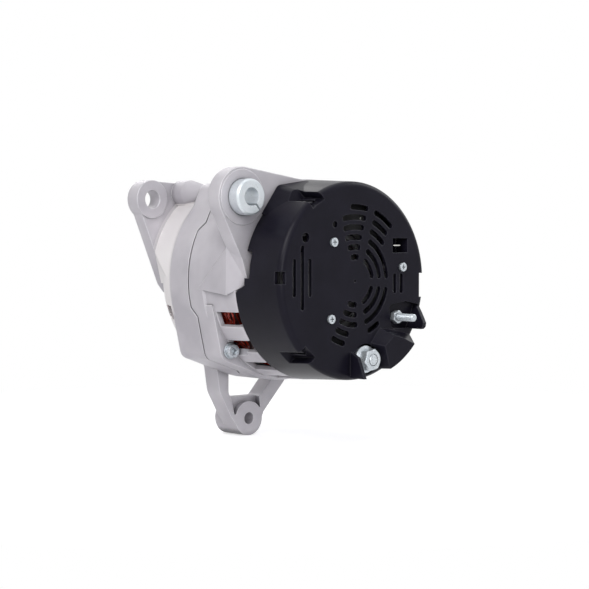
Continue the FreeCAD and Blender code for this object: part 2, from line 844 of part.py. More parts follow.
def beyond_strut():
    """Space outside the flat face by which the front lug's strut runs back to the round band."""
    tip = Vector(0.1 - body_radius, shoulder_station, -4.0)
    crest = Vector(4.9 - body_radius, front_lug_station + front_web_step, 17.9)
    foot = Vector(15.4 - body_radius, front_lug_end, -6.2)
    along = tip - crest
    across = foot - crest
    corners = [crest - along * 0.5, crest + along * 1.5, crest + across * 2.5 + along * 0.5]
    outward = across.cross(along).normalize()
    return Part.Face(Part.makePolygon(corners + corners[:1])).extrude(outward * 30)


def make_drive_end_bracket():
    start = split_station - tongue_length
    shell = lathe([
        (0, start),
        (body_radius, start),
        (body_radius, shoulder_station, shoulder_fillet),
        (*shoulder_profile[0], shoulder_fillet),
        (*shoulder_profile[1], shoulder_fillet),
        (shoulder_radius, front_wall_station),
        (front_face_radius, front_wall_end, 2.0),
        (0, front_wall_end),
    ])
    legs, ear_boss = ear_solid()
    flare = lathe([
        (40, start),
        (body_radius, start),
        (body_radius, shoulder_station),
        (body_radius - flare_step, shoulder_station + flare_step),
        (flare_radius, front_lug_station + front_web_step),
        (40, front_lug_station + front_web_step),
    ])
    flare = flare.common(sector(30, 90, *flare_angles, start, front_lug_end)).cut(beyond_strut())
    hump_x, hump_z = polar(hump_circle, lug_bolt_angle)
    hump = rod(hump_radius, hump_full_station, front_lug_station + front_web_step + 1, hump_x, hump_z)
    rise = Part.makeCone(hump_start_radius, hump_radius, hump_full_station - hump_start,
                         Vector(hump_x, hump_start, hump_z), ALONG)
    solids = [shell, flare, joined([hump, rise]), legs, ear_boss, front_lug_solid()]
    for angle, (x, z) in zip(bolt_angles, bolt_places()):
        nose = Part.makeCone(boss_radius, boss_radius - 3, 4, Vector(x, front_boss_end - 4, z), ALONG)
        solids += [bolt_pad(angle, start, front_boss_end - 4), nose]
    solids.append(bolt_pad(lug_bolt_angle, start, hump_start))
    outer = joined(solids).common(front_side(split_gap / 2))
    slope = shoulder_radius - bracket_wall
    cavity = lathe([
        (0, start - 1),
        (stator_radius + stator_fit, start - 1),
        (stator_radius + stator_fit, stator_end),
        (body_radius - bracket_wall - 0.8, stator_end),
        (slope, front_wall_station - 3, 3.0),
        (slope - 4, front_wall_station, 1.0),
        (0, front_wall_station),
    ])
    bracket = outer.cut(cavity)
    hub = rod(front_hub_radius, front_bearing_station, front_bearing_end + 1.5)
    hub_ribs = []
    for i in range(8):
        rib = block(front_hub_radius - 1, front_face_radius - 6, front_wall_station - 4,
                    front_wall_end + 1, -2, 2)
        hub_ribs.append(turned(rib, 22.5 + 45 * i))
    cuts = []
    for i in range(8):
        cuts.append(sector(front_hub_radius + 3, 50.0, 45 * i - 18, 45 * i + 18,
                           front_wall_station - 1, front_wall_end + 2))
    bracket = joined([bracket.cut(cuts), hub] + hub_ribs)
    cuts = [rod(front_bearing_radius, front_bearing_station - 5, front_bearing_end), rod(18.0, 100, 150)]
    for i in range(window_count):
        angle = 200.0 + i * 360 / window_count
        near_bolt = any(abs((angle - bolt + 180) % 360 - 180) < 12 for bolt in bolt_angles)
        if not (between(angle, 100, 185) or between(angle, 244, 296) or near_bolt):
            half = window_spread / 2
            cuts.append(sector(56, 90, angle - half, angle + half, front_window_start, front_window_end))
    for x, z in bolt_places():
        cuts.append(rod(bolt_radius, start - 1, bolt_end_station, x, z))
    x, z = polar(bolt_circle, lug_bolt_angle)
    cuts.append(rod(bolt_radius + 0.1, start - 1, lug_bolt_seat + 1, x, z))
    cuts.append(rod(bolt_flange_radius + 0.4, lug_bolt_seat, front_lug_end + 1, x, z))
    for x, z in retainer_places():
        cuts.append(rod(retainer_screw_radius, front_bearing_station - 3, front_bearing_station + 8, x, z))
    cuts.append(rod(ear_bore, ear_start - 1, ear_end + 1, 0, ear_z))
    cuts.append(rod(front_lug_bore, front_lug_station - 1, front_lug_end + 1, lug_x, lug_z))
    return bracket.cut(cuts)


def retainer_places():
    circle = front_bearing_radius + 2.6
    return [polar(circle, 45 + 90 * i) for i in range(4)]


def make_pivot_bushing():
    bush = tube(bushing_radius, bushing_bore, bushing_start, rear_lug_end, lug_x, lug_z)
    slit = block(0, bushing_radius + 1, bushing_start - 1, rear_lug_end + 1,
                 -bushing_slot / 2, bushing_slot / 2)
    slit = turned(slit, bushing_slot_angle)
    slit.translate(Vector(lug_x, 0, lug_z))
    bush = bush.cut(slit)
    rear_face = Vector(lug_x, bushing_start, lug_z)
    rim = Part.makeCone(bushing_radius - 1.2, bushing_radius + 0.8, 2.0, rear_face, ALONG)
    rest = rod(bushing_radius + 1, bushing_start + 2.0, rear_lug_end, lug_x, lug_z)
    return bush.common(rim.fuse(rest))


def through_bolt(length, x, z):
    seat = bolt_seat_station
    head = rod(bolt_head_radius, seat - bolt_head_height, seat - bolt_flange_height, x, z)
    flange = rod(bolt_flange_radius, seat - bolt_flange_height, seat, x, z)
    drive = hexagon(bolt_head_radius, seat - bolt_head_height - 1, seat - bolt_head_height / 2, x, z)
    return joined([head, flange, rod(bolt_radius, seat, seat + length, x, z)]).cut(drive)


def make_through_bolts():
    """Three bolts enter from the rear, and the one behind the pivot lug from the drive end."""
    bolts = [through_bolt(bolt_end_station - 1 - bolt_seat_station, *polar(bolt_circle, angle))
             for angle in bolt_angles]
    middle = (bolt_seat_station + lug_bolt_seat) / 2
    x, z = polar(bolt_circle, lug_bolt_angle)
    bolts.append(through_bolt(lug_bolt_seat - lug_bolt_end, x, z).mirror(Vector(0, middle, 0), ALONG))
    return Part.makeCompound(bolts)


# Stator

def stator_slot(width, first, last, start, end):
    return block(first, last, start, end, -width / 2, width / 2)


def make_stator_core():
    core = tube(stator_radius, stator_inner, stator_start, stator_end)
    slots = []
    for i in range(stator_slot_count):
        slot = stator_slot(stator_slot_width, stator_inner - 1, stator_inner + stator_slot_depth,
                           stator_start - 1, stator_end + 1)
        slots.append(turned(slot, i * 360 / stator_slot_count))
    return core.cut(slots)


def end_turns(near, far):
    """Ring of coil ends with a rounded crown."""
    return lathe([
        (winding_inner, near),
        (winding_outer, near),
        (winding_outer, far, 3.0),
        (winding_inner, far, 3.0),
    ])


def make_stator_winding():
    rear_far = stator_start - winding_overhang_rear
    front_far = stator_end + winding_overhang_front
    lift = 1.0
    parts = [end_turns(stator_start - lift, rear_far), end_turns(stator_end + lift, front_far)]
    for i in range(stator_slot_count):
        bar = stator_slot(stator_slot_width - 0.6, winding_inner, winding_outer,
                          stator_start - lift - 0.5, stator_end + lift + 0.5)
        parts.append(turned(bar, i * 360 / stator_slot_count))
    return joined(parts)


def make_stator_leads():
    leads = []
    for angle in phase_lead_angles:
        x, z = polar(phase_lead_circle, angle)
        leads.append(rod(phase_lead_radius, board_end, stator_start - winding_overhang_rear, x, z))
    return Part.makeCompound(leads)


# Rectifier

def horseshoe(inner, outer, start, end, trim=0.0):
    half = rectifier_half_angle - trim
    return sector(inner, outer, -half, half, start, end)


def plate_holes(station_low, station_high, clear):
    holes = []
    for angle in rectifier_screw_angles:
        x, z = polar(rectifier_screw_circle, angle)
        holes.append(rod(rectifier_screw_radius + clear, station_low - 1, station_high + 1, x, z))
    for x, z in cover_screw_places:
        holes.append(rod(pillar_radius + 0.6, station_low - 1, station_high + 1, x, z))
    return holes


def passage(station_low, station_high, clear):
    """Clear holes for the two studs and the connector blade."""
    return [
        rod(b_plus_sleeve_radius + clear, station_low - 1, station_high + 1, b_plus_x, b_plus_z),
        rod(d_plus_radius + clear, station_low - 1, station_high + 1, d_plus_x, d_plus_z),
    ]


def lead_holes(station_low, station_high, clear):
    holes = []
    for angle in negative_diode_angles + positive_diode_angles:
        x, z = polar(diode_circle, angle)
        holes.append(rod(0.7 + clear, station_low - 1, station_high + 1, x, z))
    for angle in phase_lead_angles:
        x, z = polar(phase_lead_circle, angle)
        holes.append(rod(phase_lead_radius + clear, station_low - 1, station_high + 1, x, z))
    return holes


def make_negative_heatsink():
    start = negative_plate_station
    end = start + plate_thickness
    plate = horseshoe(rectifier_inner_radius, rectifier_outer_radius, start, end)
    holes = plate_holes(start, end, 0.1) + passage(start, end, 1.0)
    for angle in negative_diode_angles:
        x, z = polar(diode_circle, angle)
        holes.append(rod(diode_radius, start - 1, end + 1, x, z))
    holes += lead_holes(start, end, 0.6)
    return plate.cut(holes)


def make_positive_heatsink():
    start = positive_plate_station
    plate = horseshoe(rectifier_inner_radius, rectifier_outer_radius - 1, start, plate_end, 2.0)
    holes = plate_holes(start, plate_end, 2.6)
    holes.append(rod(b_plus_radius, start - 1, plate_end + 1, b_plus_x, b_plus_z))
    holes.append(rod(d_plus_radius + 1, start - 1, plate_end + 1, d_plus_x, d_plus_z))
    for angle in positive_diode_angles:
        x, z = polar(diode_circle, angle)
        holes.append(rod(diode_radius, start - 1, plate_end + 1, x, z))
    holes += lead_holes(start, plate_end, 0.9)
    return plate.cut(holes)


def diode(angle, start, end):
    """Press-fit diode with its lead wire, which reaches the rectifier board."""
    x, z = polar(diode_circle, angle)
    can = rod(diode_radius, start - 1.0, end + 2.0, x, z)
    glass = Part.makeCone(2.2, 3.2, 2.0, Vector(x, start - 3.0, z), ALONG)
    lead = rod(0.7, board_station, start - 3.0, x, z)
    return joined([can, glass, lead])


def make_negative_diodes():
    start = negative_plate_station
    return Part.makeCompound([diode(a, start, start + plate_thickness) for a in negative_diode_angles])


def make_positive_diodes():
    start = positive_plate_station
    return Part.makeCompound([diode(a, start, start + plate_thickness) for a in positive_diode_angles])


def make_rectifier_board():
    board = horseshoe(rectifier_inner_radius + 1, rectifier_outer_radius - 2, board_station, board_end, 3.0)
    holes = plate_holes(board_station, board_end, 0.1) + lead_holes(board_station, board_end, 0.0)
    holes.append(rod(b_plus_sleeve_radius + 0.3, board_station - 1, board_end + 1, b_plus_x, b_plus_z))
    holes.append(rod(d_plus_core_radius, board_station - 1, board_end + 1, d_plus_x, d_plus_z))
    holes.append(blade_block(0.0))
    return board.cut(holes)


def make_rectifier_spacers():
    """Insulating tubes between the board, the two heatsinks and the screws."""
    spacers = []
    for angle in rectifier_screw_angles:
        x, z = polar(rectifier_screw_circle, angle)
        low = tube(rectifier_screw_radius + 2.4, rectifier_screw_radius + 0.1, board_end,
                   negative_plate_station, x, z)
        spacers.append(low)
    return Part.makeCompound(spacers)


def make_rectifier_screws():
    screws = []
    for angle in rectifier_screw_angles:
        x, z = polar(rectifier_screw_circle, angle)
        length = rear_wall_end - 2 - board_station
        screws.append(pan_screw(rectifier_screw_radius, 3.8, board_station, length, x, z))
    return Part.makeCompound(screws)


# Terminals

def make_b_plus_stud():
    head = hexagon(12.0, plate_end, plate_end + 4.5, b_plus_x, b_plus_z)
    shank = rod(b_plus_radius, b_plus_tip + 0.8, plate_end, b_plus_x, b_plus_z)
    point = Vector(b_plus_x, b_plus_tip, b_plus_z)
    tip = Part.makeCone(b_plus_radius - 0.8, b_plus_radius, 0.8, point, ALONG)
    return joined([head, shank, tip])


def make_b_plus_sleeve():
    return tube(b_plus_sleeve_radius, b_plus_radius + 0.1, b_plus_washer_end, positive_plate_station,
                b_plus_x, b_plus_z)


def make_b_plus_washer():
    return tube(b_plus_flange_radius - 0.3, b_plus_radius + 0.2, b_plus_seat, b_plus_washer_end,
                b_plus_x, b_plus_z)


def make_b_plus_nut():
    flange_height = 1.8
    top = b_plus_seat - b_plus_nut_height
    body = nut(b_plus_across_flats, b_plus_radius, top, b_plus_seat - flange_height / 2,
               b_plus_x, b_plus_z, 12.0)
    flange = Part.makeCone(b_plus_across_flats / 2 + 0.3, b_plus_flange_radius, flange_height - 0.6,
                           Vector(b_plus_x, b_plus_seat - flange_height, b_plus_z), ALONG)
    rim = rod(b_plus_flange_radius, b_plus_seat - 0.6, b_plus_seat, b_plus_x, b_plus_z)
    return joined([body, flange, rim]).cut(rod(b_plus_radius, top - 1, b_plus_seat + 1, b_plus_x, b_plus_z))


def make_d_plus_stud():
    """Signal stud, drawn at its thread's outside where it is free and at its core in the nut and below."""
    free_end = d_plus_floor - d_plus_nut_height
    thread = rod(d_plus_radius, d_plus_tip + 0.5, free_end, d_plus_x, d_plus_z)
    core = rod(d_plus_core_radius, free_end, board_end, d_plus_x, d_plus_z)
    point = Vector(d_plus_x, d_plus_tip, d_plus_z)
    tip = Part.makeCone(d_plus_radius - 0.5, d_plus_radius, 0.5, point, ALONG)
    head = rod(d_plus_radius + 2, board_end, board_end + 2.5, d_plus_x, d_plus_z)
    return joined([thread, core, tip, head])


def make_d_plus_nut():
    return nut(d_plus_across_flats, d_plus_core_radius, d_plus_floor - d_plus_nut_height, d_plus_floor,
               d_plus_x, d_plus_z, 20.0)


def blade_block(grow):
    return block(terminal_x - blade_width / 2 - grow, terminal_x + blade_width / 2 + grow, 3.0, board_end,
                 terminal_z - blade_thickness / 2 - grow, terminal_z + blade_thickness / 2 + grow)


def make_w_terminal_blade():
    return blade_block(0.0)


# Regulator and brush gear

def channel(station, grow):
    half_height = brush_height / 2 + grow
    middle = station + slip_ring_width / 2
    half_width = brush_width / 2 + grow
    return block(regulator_right, holder_end + 1, middle - half_width, middle + half_width,
                 -half_height, half_height)


def make_regulator_body():
    body = slab([
        (regulator_left, -regulator_half_height, 3.0),
        (regulator_right, -regulator_half_height, 2.0),
        (regulator_right, regulator_half_height, 2.0),
        (regulator_left, regulator_half_height, 3.0),
    ], regulator_station, regulator_end)
    ears = slab([
        (regulator_screw_x - 5.0, -regulator_ear_z - 5.0, 4.5),
        (regulator_screw_x + 5.0, -regulator_ear_z - 5.0, 4.5),
        (regulator_screw_x + 5.0, regulator_ear_z + 5.0, 4.5),
        (regulator_screw_x - 5.0, regulator_ear_z + 5.0, 4.5),
    ], regulator_end - 4.0, regulator_end)
    holes = [rod(rectifier_screw_radius + 0.1, 0, 60, regulator_screw_x, z)
             for z in (-regulator_ear_z, regulator_ear_z)]
    return joined([body, ears]).cut(holes)


def make_regulator_heatsink():
    left = regulator_left + 1.5
    right = regulator_right - 1.5
    half = regulator_half_height - 2.0
    plate = block(left, right, regulator_station - 2.5, regulator_station, -half, half)
    fins = []
    for i in range(sink_fin_count):
        x = left + (right - left - 1.4) * i / (sink_fin_count - 1)
        fins.append(block(x, x + 1.4, regulator_station - 7.0, regulator_station - 2.5, -half + 3, half - 3))
    return joined([plate] + fins)


def make_brush_holder():
    body = block(regulator_right, holder_end, outer_ring_station - 2.5, regulator_end - 1.0,
                 -holder_half_height, holder_half_height)
    bay = rod(slip_ring_radius + 1.2, 0, 60)
    return body.cut([bay, channel(outer_ring_station, brush_play), channel(inner_ring_station, brush_play)])


def make_regulator_screws():
    screws = []
    for z in (-regulator_ear_z, regulator_ear_z):
        seat = regulator_end - 4.0
        screws.append(pan_screw(rectifier_screw_radius, 3.6, seat, rear_wall_station - 1 - seat,
                                regulator_screw_x, z))
    return Part.makeCompound(screws)


def brush(station):
    middle = station + slip_ring_width / 2
    back = -slip_ring_radius - brush_length
    body = block(back, -slip_ring_radius + 1.0, middle - brush_width / 2, middle + brush_width / 2,
                 -brush_height / 2, brush_height / 2)
    return body.cut(rod(slip_ring_radius + brush_gap, 0, 60))


def brush_spring(station):
    middle = station + slip_ring_width / 2
    back = -slip_ring_radius - brush_length
    length = back - regulator_right - 0.1
    outer = Part.makeCylinder(spring_radius, length, Vector(regulator_right, middle, 0), Vector(1, 0, 0))
    inner = Part.makeCylinder(spring_radius - spring_wall, length, Vector(regulator_right, middle, 0),
                              Vector(1, 0, 0))
    return outer.cut(inner)


# Bearings

def outer_race(radius, width, start, step, ball_radius):
    groove_circle = (radius + shaft_radius) / 2
    ring = tube(radius, radius - step, start, start + width)
    middle = Vector(0, start + width / 2, 0)
    groove = Part.makeTorus(groove_circle, ball_radius + ball_clearance, middle, ALONG)
    return ring.cut(groove)


def inner_race(radius, width, start, step, ball_radius):
    groove_circle = (radius + shaft_radius) / 2
    ring = tube(shaft_radius + step, shaft_radius, start, start + width)
    middle = Vector(0, start + width / 2, 0)
    groove = Part.makeTorus(groove_circle, ball_radius + ball_clearance, middle, ALONG)
    return ring.cut(groove)


def ball_places(radius, count):
    circle = (radius + shaft_radius) / 2
    return [polar(circle, 360 * i / count) for i in range(count)]


def balls(radius, width, start, ball_radius, count):
    return Part.makeCompound([
        Part.makeSphere(ball_radius, Vector(x, start + width / 2, z)) for x, z in ball_places(radius, count)
    ])


def cage(radius, width, start, ball_radius, count):
    circle = (radius + shaft_radius) / 2
    half = ball_radius + cage_rim
    middle = start + width / 2
    ring = tube(circle + cage_wall / 2, circle - cage_wall / 2, middle - half, middle + half)
    pocket = Part.makeCylinder(ball_radius + 2 * ball_clearance, radius, Vector(0, middle, 0),
                               Vector(1, 0, 0))
    return ring.cut([turned(pocket, 360 * i / count) for i in range(count)])


def make_rear_bearing_sleeve():
    return tube(rear_seat_radius, rear_bearing_radius, rear_bearing_station, rear_bearing_end)


def make_bearing_retainer():
    start = front_bearing_station - retainer_thickness
    corner = front_bearing_radius + 5.0
    half = corner / math.sqrt(2) + 2.2
    plate = slab([(-half, -half, 6.0), (half, -half, 6.0), (half, half, 6.0), (-half, half, 6.0)],
                 start, front_bearing_station)
    plate = plate.common(rod(corner + 0.4, 100, 140))
    holes = [rod(retainer_screw_radius + 0.1, 100, 140, x, z) for x, z in retainer_places()]
    return plate.cut(holes + [rod(front_bearing_radius - front_race_step + 0.3, 100, 140)])


def make_retainer_screws():
    seat = front_bearing_station - retainer_thickness
    return Part.makeCompound([
        pan_screw(retainer_screw_radius, 2.6, seat, retainer_thickness + 6.0, x, z)
        for x, z in retainer_places()
    ])


# Rotor

def make_shaft():
    washer_end = pulley_seat_station + pulley_washer
    thread_end = washer_end + pulley_nut_height + 3.0
    bar = lathe([
        (0, tail_start),
        (shaft_tail_radius, tail_start),
        (shaft_tail_radius, rear_bearing_station - 1.0),
        (shaft_radius, rear_bearing_station - 1.0),
        (shaft_radius, rear_bearing_end),
        (shaft_core_radius, rear_bearing_end),
        (shaft_core_radius, spacer_start),
        (shaft_radius, spacer_start),
        (shaft_radius, pulley_seat_station - 1.0),
        (thread_radius, pulley_seat_station),
        (thread_radius, thread_end - 1.0),
        (thread_radius - 1.0, thread_end),
        (0, thread_end),
    ])
    return bar.cut(hexagon(8.0, thread_end - 7.0, thread_end + 1.0))


def claw(tip_half):
    """One claw before trimming: a bar from the axis that turns along the rotor and narrows."""
    root_end = rotor_start + pole_disc
    tip = rotor_end - claw_gap
    points = [
        (-claw_root_half - 1.0, rotor_start),
        (claw_root_half + 1.0, rotor_start),
        (claw_root_half, root_end),
        (tip_half, tip),
        (-tip_half, tip),
        (-claw_root_half, root_end),
    ]
    wire = outline(points, lambda across, station: Vector(0, station, across))
    return Part.Face(wire).extrude(Vector(claw_radius + 2, 0, 0))


def rear_claws():
    root_end = rotor_start + pole_disc
    tip = rotor_end - claw_gap
    envelope = lathe([
        (0, rotor_start),
        (claw_radius - 1.0, rotor_start),
        (claw_radius, rotor_start + 1.0),
        (claw_radius, tip - 1.5),
        (claw_radius - 1.5, tip),
        (coil_radius + 4.6, tip),
        (coil_radius + 1.2, root_end),
        (0, root_end),
    ])
    arms = [turned(claw(claw_tip_half), 360 * i / claw_count) for i in range(claw_count)]
    star = joined([rod(claw_radius * 0.7, rotor_start, root_end)] + arms)
    return star.common(envelope).cut(rod(shaft_core_radius, rotor_start - 1, rotor_end + 1))


def make_pole_claw_front():
    """The same casting turned end for end and half a pitch round."""
    piece = rear_claws().mirror(Vector(0, (rotor_start + rotor_end) / 2, 0), ALONG)
    return turned(piece, 180 / claw_count)


def make_rotor_yoke():
    return tube(yoke_radius, shaft_core_radius, rotor_start + pole_disc, rotor_end - pole_disc)


def make_field_bobbin():
    start = rotor_start + pole_disc
    end = rotor_end - pole_disc
    return lathe([
        (yoke_radius, start),
        (coil_radius, start),
        (coil_radius, start + bobbin_wall),
        (yoke_radius + bobbin_wall, start + bobbin_wall),
        (yoke_radius + bobbin_wall, end - bobbin_wall),
        (coil_radius, end - bobbin_wall),
        (coil_radius, end),
        (yoke_radius, end),
    ])


def make_field_coil():
    start = rotor_start + pole_disc + bobbin_wall
    end = rotor_end - pole_disc - bobbin_wall
    return tube(coil_radius - 0.8, yoke_radius + bobbin_wall, start, end)


def fan_blade(inner, start, end, lean):
    """Blade of constant thickness, curved backwards in plan."""
    half = fan_blade_wall / 2
    tip = fan_radius - 0.3
    middle = (inner + tip) / 2

    def at(radius, angle, offset):
        x, z = polar(radius, angle)
        across_x, across_z = polar(offset, angle + 90)
        return Vector(x + across_x, start, z + across_z)

    def edge(offset):
        bend = at(middle, lean * 0.35, offset)
        return Part.Arc(at(inner, 0, offset), bend, at(tip, lean, offset)).toShape()

    first = edge(-half)
    second = edge(half)
    near = Part.LineSegment(at(inner, 0, -half), at(inner, 0, half)).toShape()
    far = Part.LineSegment(at(tip, lean, -half), at(tip, lean, half)).toShape()
    wire = Part.Wire(Part.__sortEdges__([first, far, second, near]))
    return Part.Face(wire).extrude(Vector(0, end - start, 0))


def make_rear_fan():
    plate_start = rotor_start - fan_plate
    plate = tube(fan_radius, shaft_core_radius, plate_start, rotor_start)
    blades = [turned(fan_blade(24.0, plate_start - rear_fan_blade, plate_start + 0.5, 24.0),
                     360 * i / fan_blade_count) for i in range(fan_blade_count)]
    return joined([plate] + blades)


def make_front_fan():
    plate_end_station = rotor_end + fan_plate
    plate = tube(fan_radius, shaft_core_radius, rotor_end, plate_end_station)
    blades = [turned(fan_blade(32.0, plate_end_station - 0.5, plate_end_station + front_fan_blade, -20.0),
                     360 * i / fan_blade_count) for i in range(fan_blade_count)]
    return joined([plate] + blades)


def slip_ring(station):
    return tube(slip_ring_radius, slip_ring_radius - slip_ring_wall, station, station + slip_ring_width)


def make_slip_ring_insulator():
    collar = slip_ring_radius - 0.5
    neck = slip_ring_radius - slip_ring_wall
    outer_end = outer_ring_station + slip_ring_width
    inner_end = inner_ring_station + slip_ring_width
    return lathe([
        (shaft_tail_radius, tail_start),
        (collar, tail_start, 1.0),
        (collar, outer_ring_station),
        (neck, outer_ring_station),
        (neck, outer_end),
        (collar, outer_end),
        (collar, inner_ring_station),
        (neck, inner_ring_station),
        (neck, inner_end),
        (collar, inner_end),
        (collar, rear_bearing_station - 1.0),
        (shaft_tail_radius, rear_bearing_station - 1.0),
    ])


def make_inner_spacer():
    return tube(shaft_radius + front_race_step - 0.4, shaft_radius, spacer_start, front_bearing_station)


def make_pulley_spacer():
    return tube(shaft_radius + front_race_step - 0.4, shaft_radius, front_bearing_end, pulley_start)


def make_pulley():
    body = [
        (shaft_radius, pulley_start),
        (pulley_radius - 7.0, pulley_start),
        (pulley_radius, pulley_start, 0.4),
        (pulley_radius, pulley_start + rim_width),
    ]
    for i in range(groove_count):
        base = pulley_start + rim_width + i * groove_pitch
        body.append((pulley_radius - groove_depth, base + groove_pitch * 0.42))
        body.append((pulley_radius - groove_depth, base + groove_pitch * 0.58))
        body.append((pulley_radius, base + groove_pitch))
    body += [
        (pulley_radius, pulley_end, 0.4),
        (pulley_radius - 7.0, pulley_end),
        (pulley_radius - 8.0, pulley_seat_station),
        (shaft_radius, pulley_seat_station),
    ]
    return lathe(body)


def make_pulley_washer():
    start = pulley_seat_station
    return tube(thread_radius + 6.0, thread_radius + 0.1, start, start + pulley_washer)


def make_pulley_nut():
    start = pulley_seat_station + pulley_washer
    return hexagon(pulley_nut_flats, start, start + pulley_nut_height).cut(
        rod(thread_radius, start - 1, start + pulley_nut_height + 1))


def build():
    os.makedirs("parts", exist_ok=True)
    rear = (rear_bearing_radius, rear_bearing_width, rear_bearing_station)
    front = (front_bearing_radius, front_bearing_width, front_bearing_station)
    pieces = {
        "rear_cover": make_rear_cover(),
        "cover_screws": make_cover_screws(),
        "rear_bracket": make_rear_bracket(),
        "drive_end_bracket": make_drive_end_bracket(),
        "pivot_bushing": make_pivot_bushing(),
        "through_bolts": make_through_bolts(),
        "stator_core": make_stator_core(),
        "stator_winding": make_stator_winding(),
        "stator_leads": make_stator_leads(),
        "negative_heatsink": make_negative_heatsink(),
        "positive_heatsink": make_positive_heatsink(),
        "negative_diodes": make_negative_diodes(),
        "positive_diodes": make_positive_diodes(),
        "rectifier_board": make_rectifier_board(),
        "rectifier_spacers": make_rectifier_spacers(),
        "rectifier_screws": make_rectifier_screws(),
        "regulator_body": make_regulator_body(),
        "regulator_heatsink": make_regulator_heatsink(),
        "regulator_screws": make_regulator_screws(),
        "brush_holder": make_brush_holder(),
        "outer_brush": brush(outer_ring_station),
        "inner_brush": brush(inner_ring_station),
        "outer_brush_spring": brush_spring(outer_ring_station),
        "inner_brush_spring": brush_spring(inner_ring_station),
        "b_plus_stud": make_b_plus_stud(),
        "b_plus_sleeve": make_b_plus_sleeve(),
        "b_plus_washer": make_b_plus_washer(),
        "b_plus_nut": make_b_plus_nut(),
        "d_plus_stud": make_d_plus_stud(),
        "d_plus_nut": make_d_plus_nut(),
        "w_terminal_blade": make_w_terminal_blade(),
        "rear_bearing_sleeve": make_rear_bearing_sleeve(),
        "rear_bearing_outer_race": outer_race(*rear, rear_race_step, rear_ball_radius),
        "rear_bearing_inner_race": inner_race(*rear, rear_race_step, rear_ball_radius),
        "rear_bearing_balls": balls(*rear, rear_ball_radius, rear_ball_count),
        "rear_bearing_cage": cage(*rear, rear_ball_radius, rear_ball_count),
        "front_bearing_outer_race": outer_race(*front, front_race_step, front_ball_radius),
        "front_bearing_inner_race": inner_race(*front, front_race_step, front_ball_radius),
        "front_bearing_balls": balls(*front, front_ball_radius, front_ball_count),
        "front_bearing_cage": cage(*front, front_ball_radius, front_ball_count),
        "bearing_retainer": make_bearing_retainer(),
        "retainer_screws": make_retainer_screws(),
        "rotor_shaft": make_shaft(),
        "rotor_yoke": make_rotor_yoke(),
        "pole_claw_rear": rear_claws(),
        "pole_claw_front": make_pole_claw_front(),
        "field_bobbin": make_field_bobbin(),
        "field_coil": make_field_coil(),
        "rear_fan": make_rear_fan(),
        "front_fan": make_front_fan(),
        "outer_slip_ring": slip_ring(outer_ring_station),
        "inner_slip_ring": slip_ring(inner_ring_station),
        "slip_ring_insulator": make_slip_ring_insulator(),
        "inner_spacer": make_inner_spacer(),
        "pulley_spacer": make_pulley_spacer(),
        "pulley": make_pulley(),
        "pulley_washer": make_pulley_washer(),
        "pulley_nut": make_pulley_nut(),
    }
    for name, shape in pieces.items():
        export(name, shape)
        print(name, len(shape.Solids), round(shape.Volume), shape.isValid())


build()
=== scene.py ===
import json
import math
import random

import bmesh
import bpy
from mathutils import Matrix, Vector


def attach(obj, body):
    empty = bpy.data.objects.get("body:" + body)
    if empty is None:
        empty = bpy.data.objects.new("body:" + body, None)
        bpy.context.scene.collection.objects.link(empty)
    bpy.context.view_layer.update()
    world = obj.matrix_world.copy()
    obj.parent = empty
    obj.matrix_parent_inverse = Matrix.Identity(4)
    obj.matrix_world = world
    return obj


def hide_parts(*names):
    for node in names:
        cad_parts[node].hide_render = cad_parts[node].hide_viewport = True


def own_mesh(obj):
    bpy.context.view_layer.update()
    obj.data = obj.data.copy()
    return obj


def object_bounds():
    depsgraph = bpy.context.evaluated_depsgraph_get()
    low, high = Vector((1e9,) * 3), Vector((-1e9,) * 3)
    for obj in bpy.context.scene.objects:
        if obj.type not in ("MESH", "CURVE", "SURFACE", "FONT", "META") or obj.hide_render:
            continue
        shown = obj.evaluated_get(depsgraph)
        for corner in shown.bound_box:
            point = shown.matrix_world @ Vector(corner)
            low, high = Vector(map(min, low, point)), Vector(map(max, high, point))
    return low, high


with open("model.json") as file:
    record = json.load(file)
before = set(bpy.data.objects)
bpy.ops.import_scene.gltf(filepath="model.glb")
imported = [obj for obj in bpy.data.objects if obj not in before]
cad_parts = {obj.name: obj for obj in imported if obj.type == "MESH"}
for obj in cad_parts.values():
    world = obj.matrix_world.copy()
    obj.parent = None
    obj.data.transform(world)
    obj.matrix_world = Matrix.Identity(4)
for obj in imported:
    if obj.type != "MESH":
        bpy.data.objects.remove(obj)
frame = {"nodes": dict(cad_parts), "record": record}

cad_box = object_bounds()
nodes = frame["nodes"]

# Lengths are in millimetres, and stations run along the axis from the cover's rear face
MM = 0.001
BELT_STATION = 154.98

# The photograph's camera: its place, its viewing direction and its focal length in pixels
FRAME_PIXELS = 589
FOCAL_PIXELS = 1700.0
CAMERA_PLACE = Vector((-0.7674, -0.9598, 0.0321))
CAMERA_FORWARD = Vector((0.6634, 0.74736, -0.03683))
SENSOR = 36.0

# The stator: the radii of its coil ends, its slots, and each coil end's start, direction, overhang and seed
WINDING_INNER = 51.0
WINDING_OUTER = 59.5
SLOTS = 36
COIL_ENDS = (("rear", 75.0, -1, 17.0, 11), ("front", 107.0, 1, 10.0, 12))

# Strands over the outer side of a coil end: count per slot, radius, steps, slots spanned, and the scatter of
# start and span in slots and of reach in millimetres. Each reaches a share of the overhang, one step further
# than the last, and every other one lies deeper.
SIDE_STRANDS = 5
SIDE_STRAND_RADIUS = 0.62
SIDE_STEPS = 10
SIDE_SPAN = 3
SIDE_SCATTER = (0.22, 0.2, 0.3)
SIDE_REACH = 0.5
SIDE_REACH_STEP = 0.115
SIDE_PROUD = 0.1
SIDE_DEEPER = 0.35
ARCH_POWER = 0.75

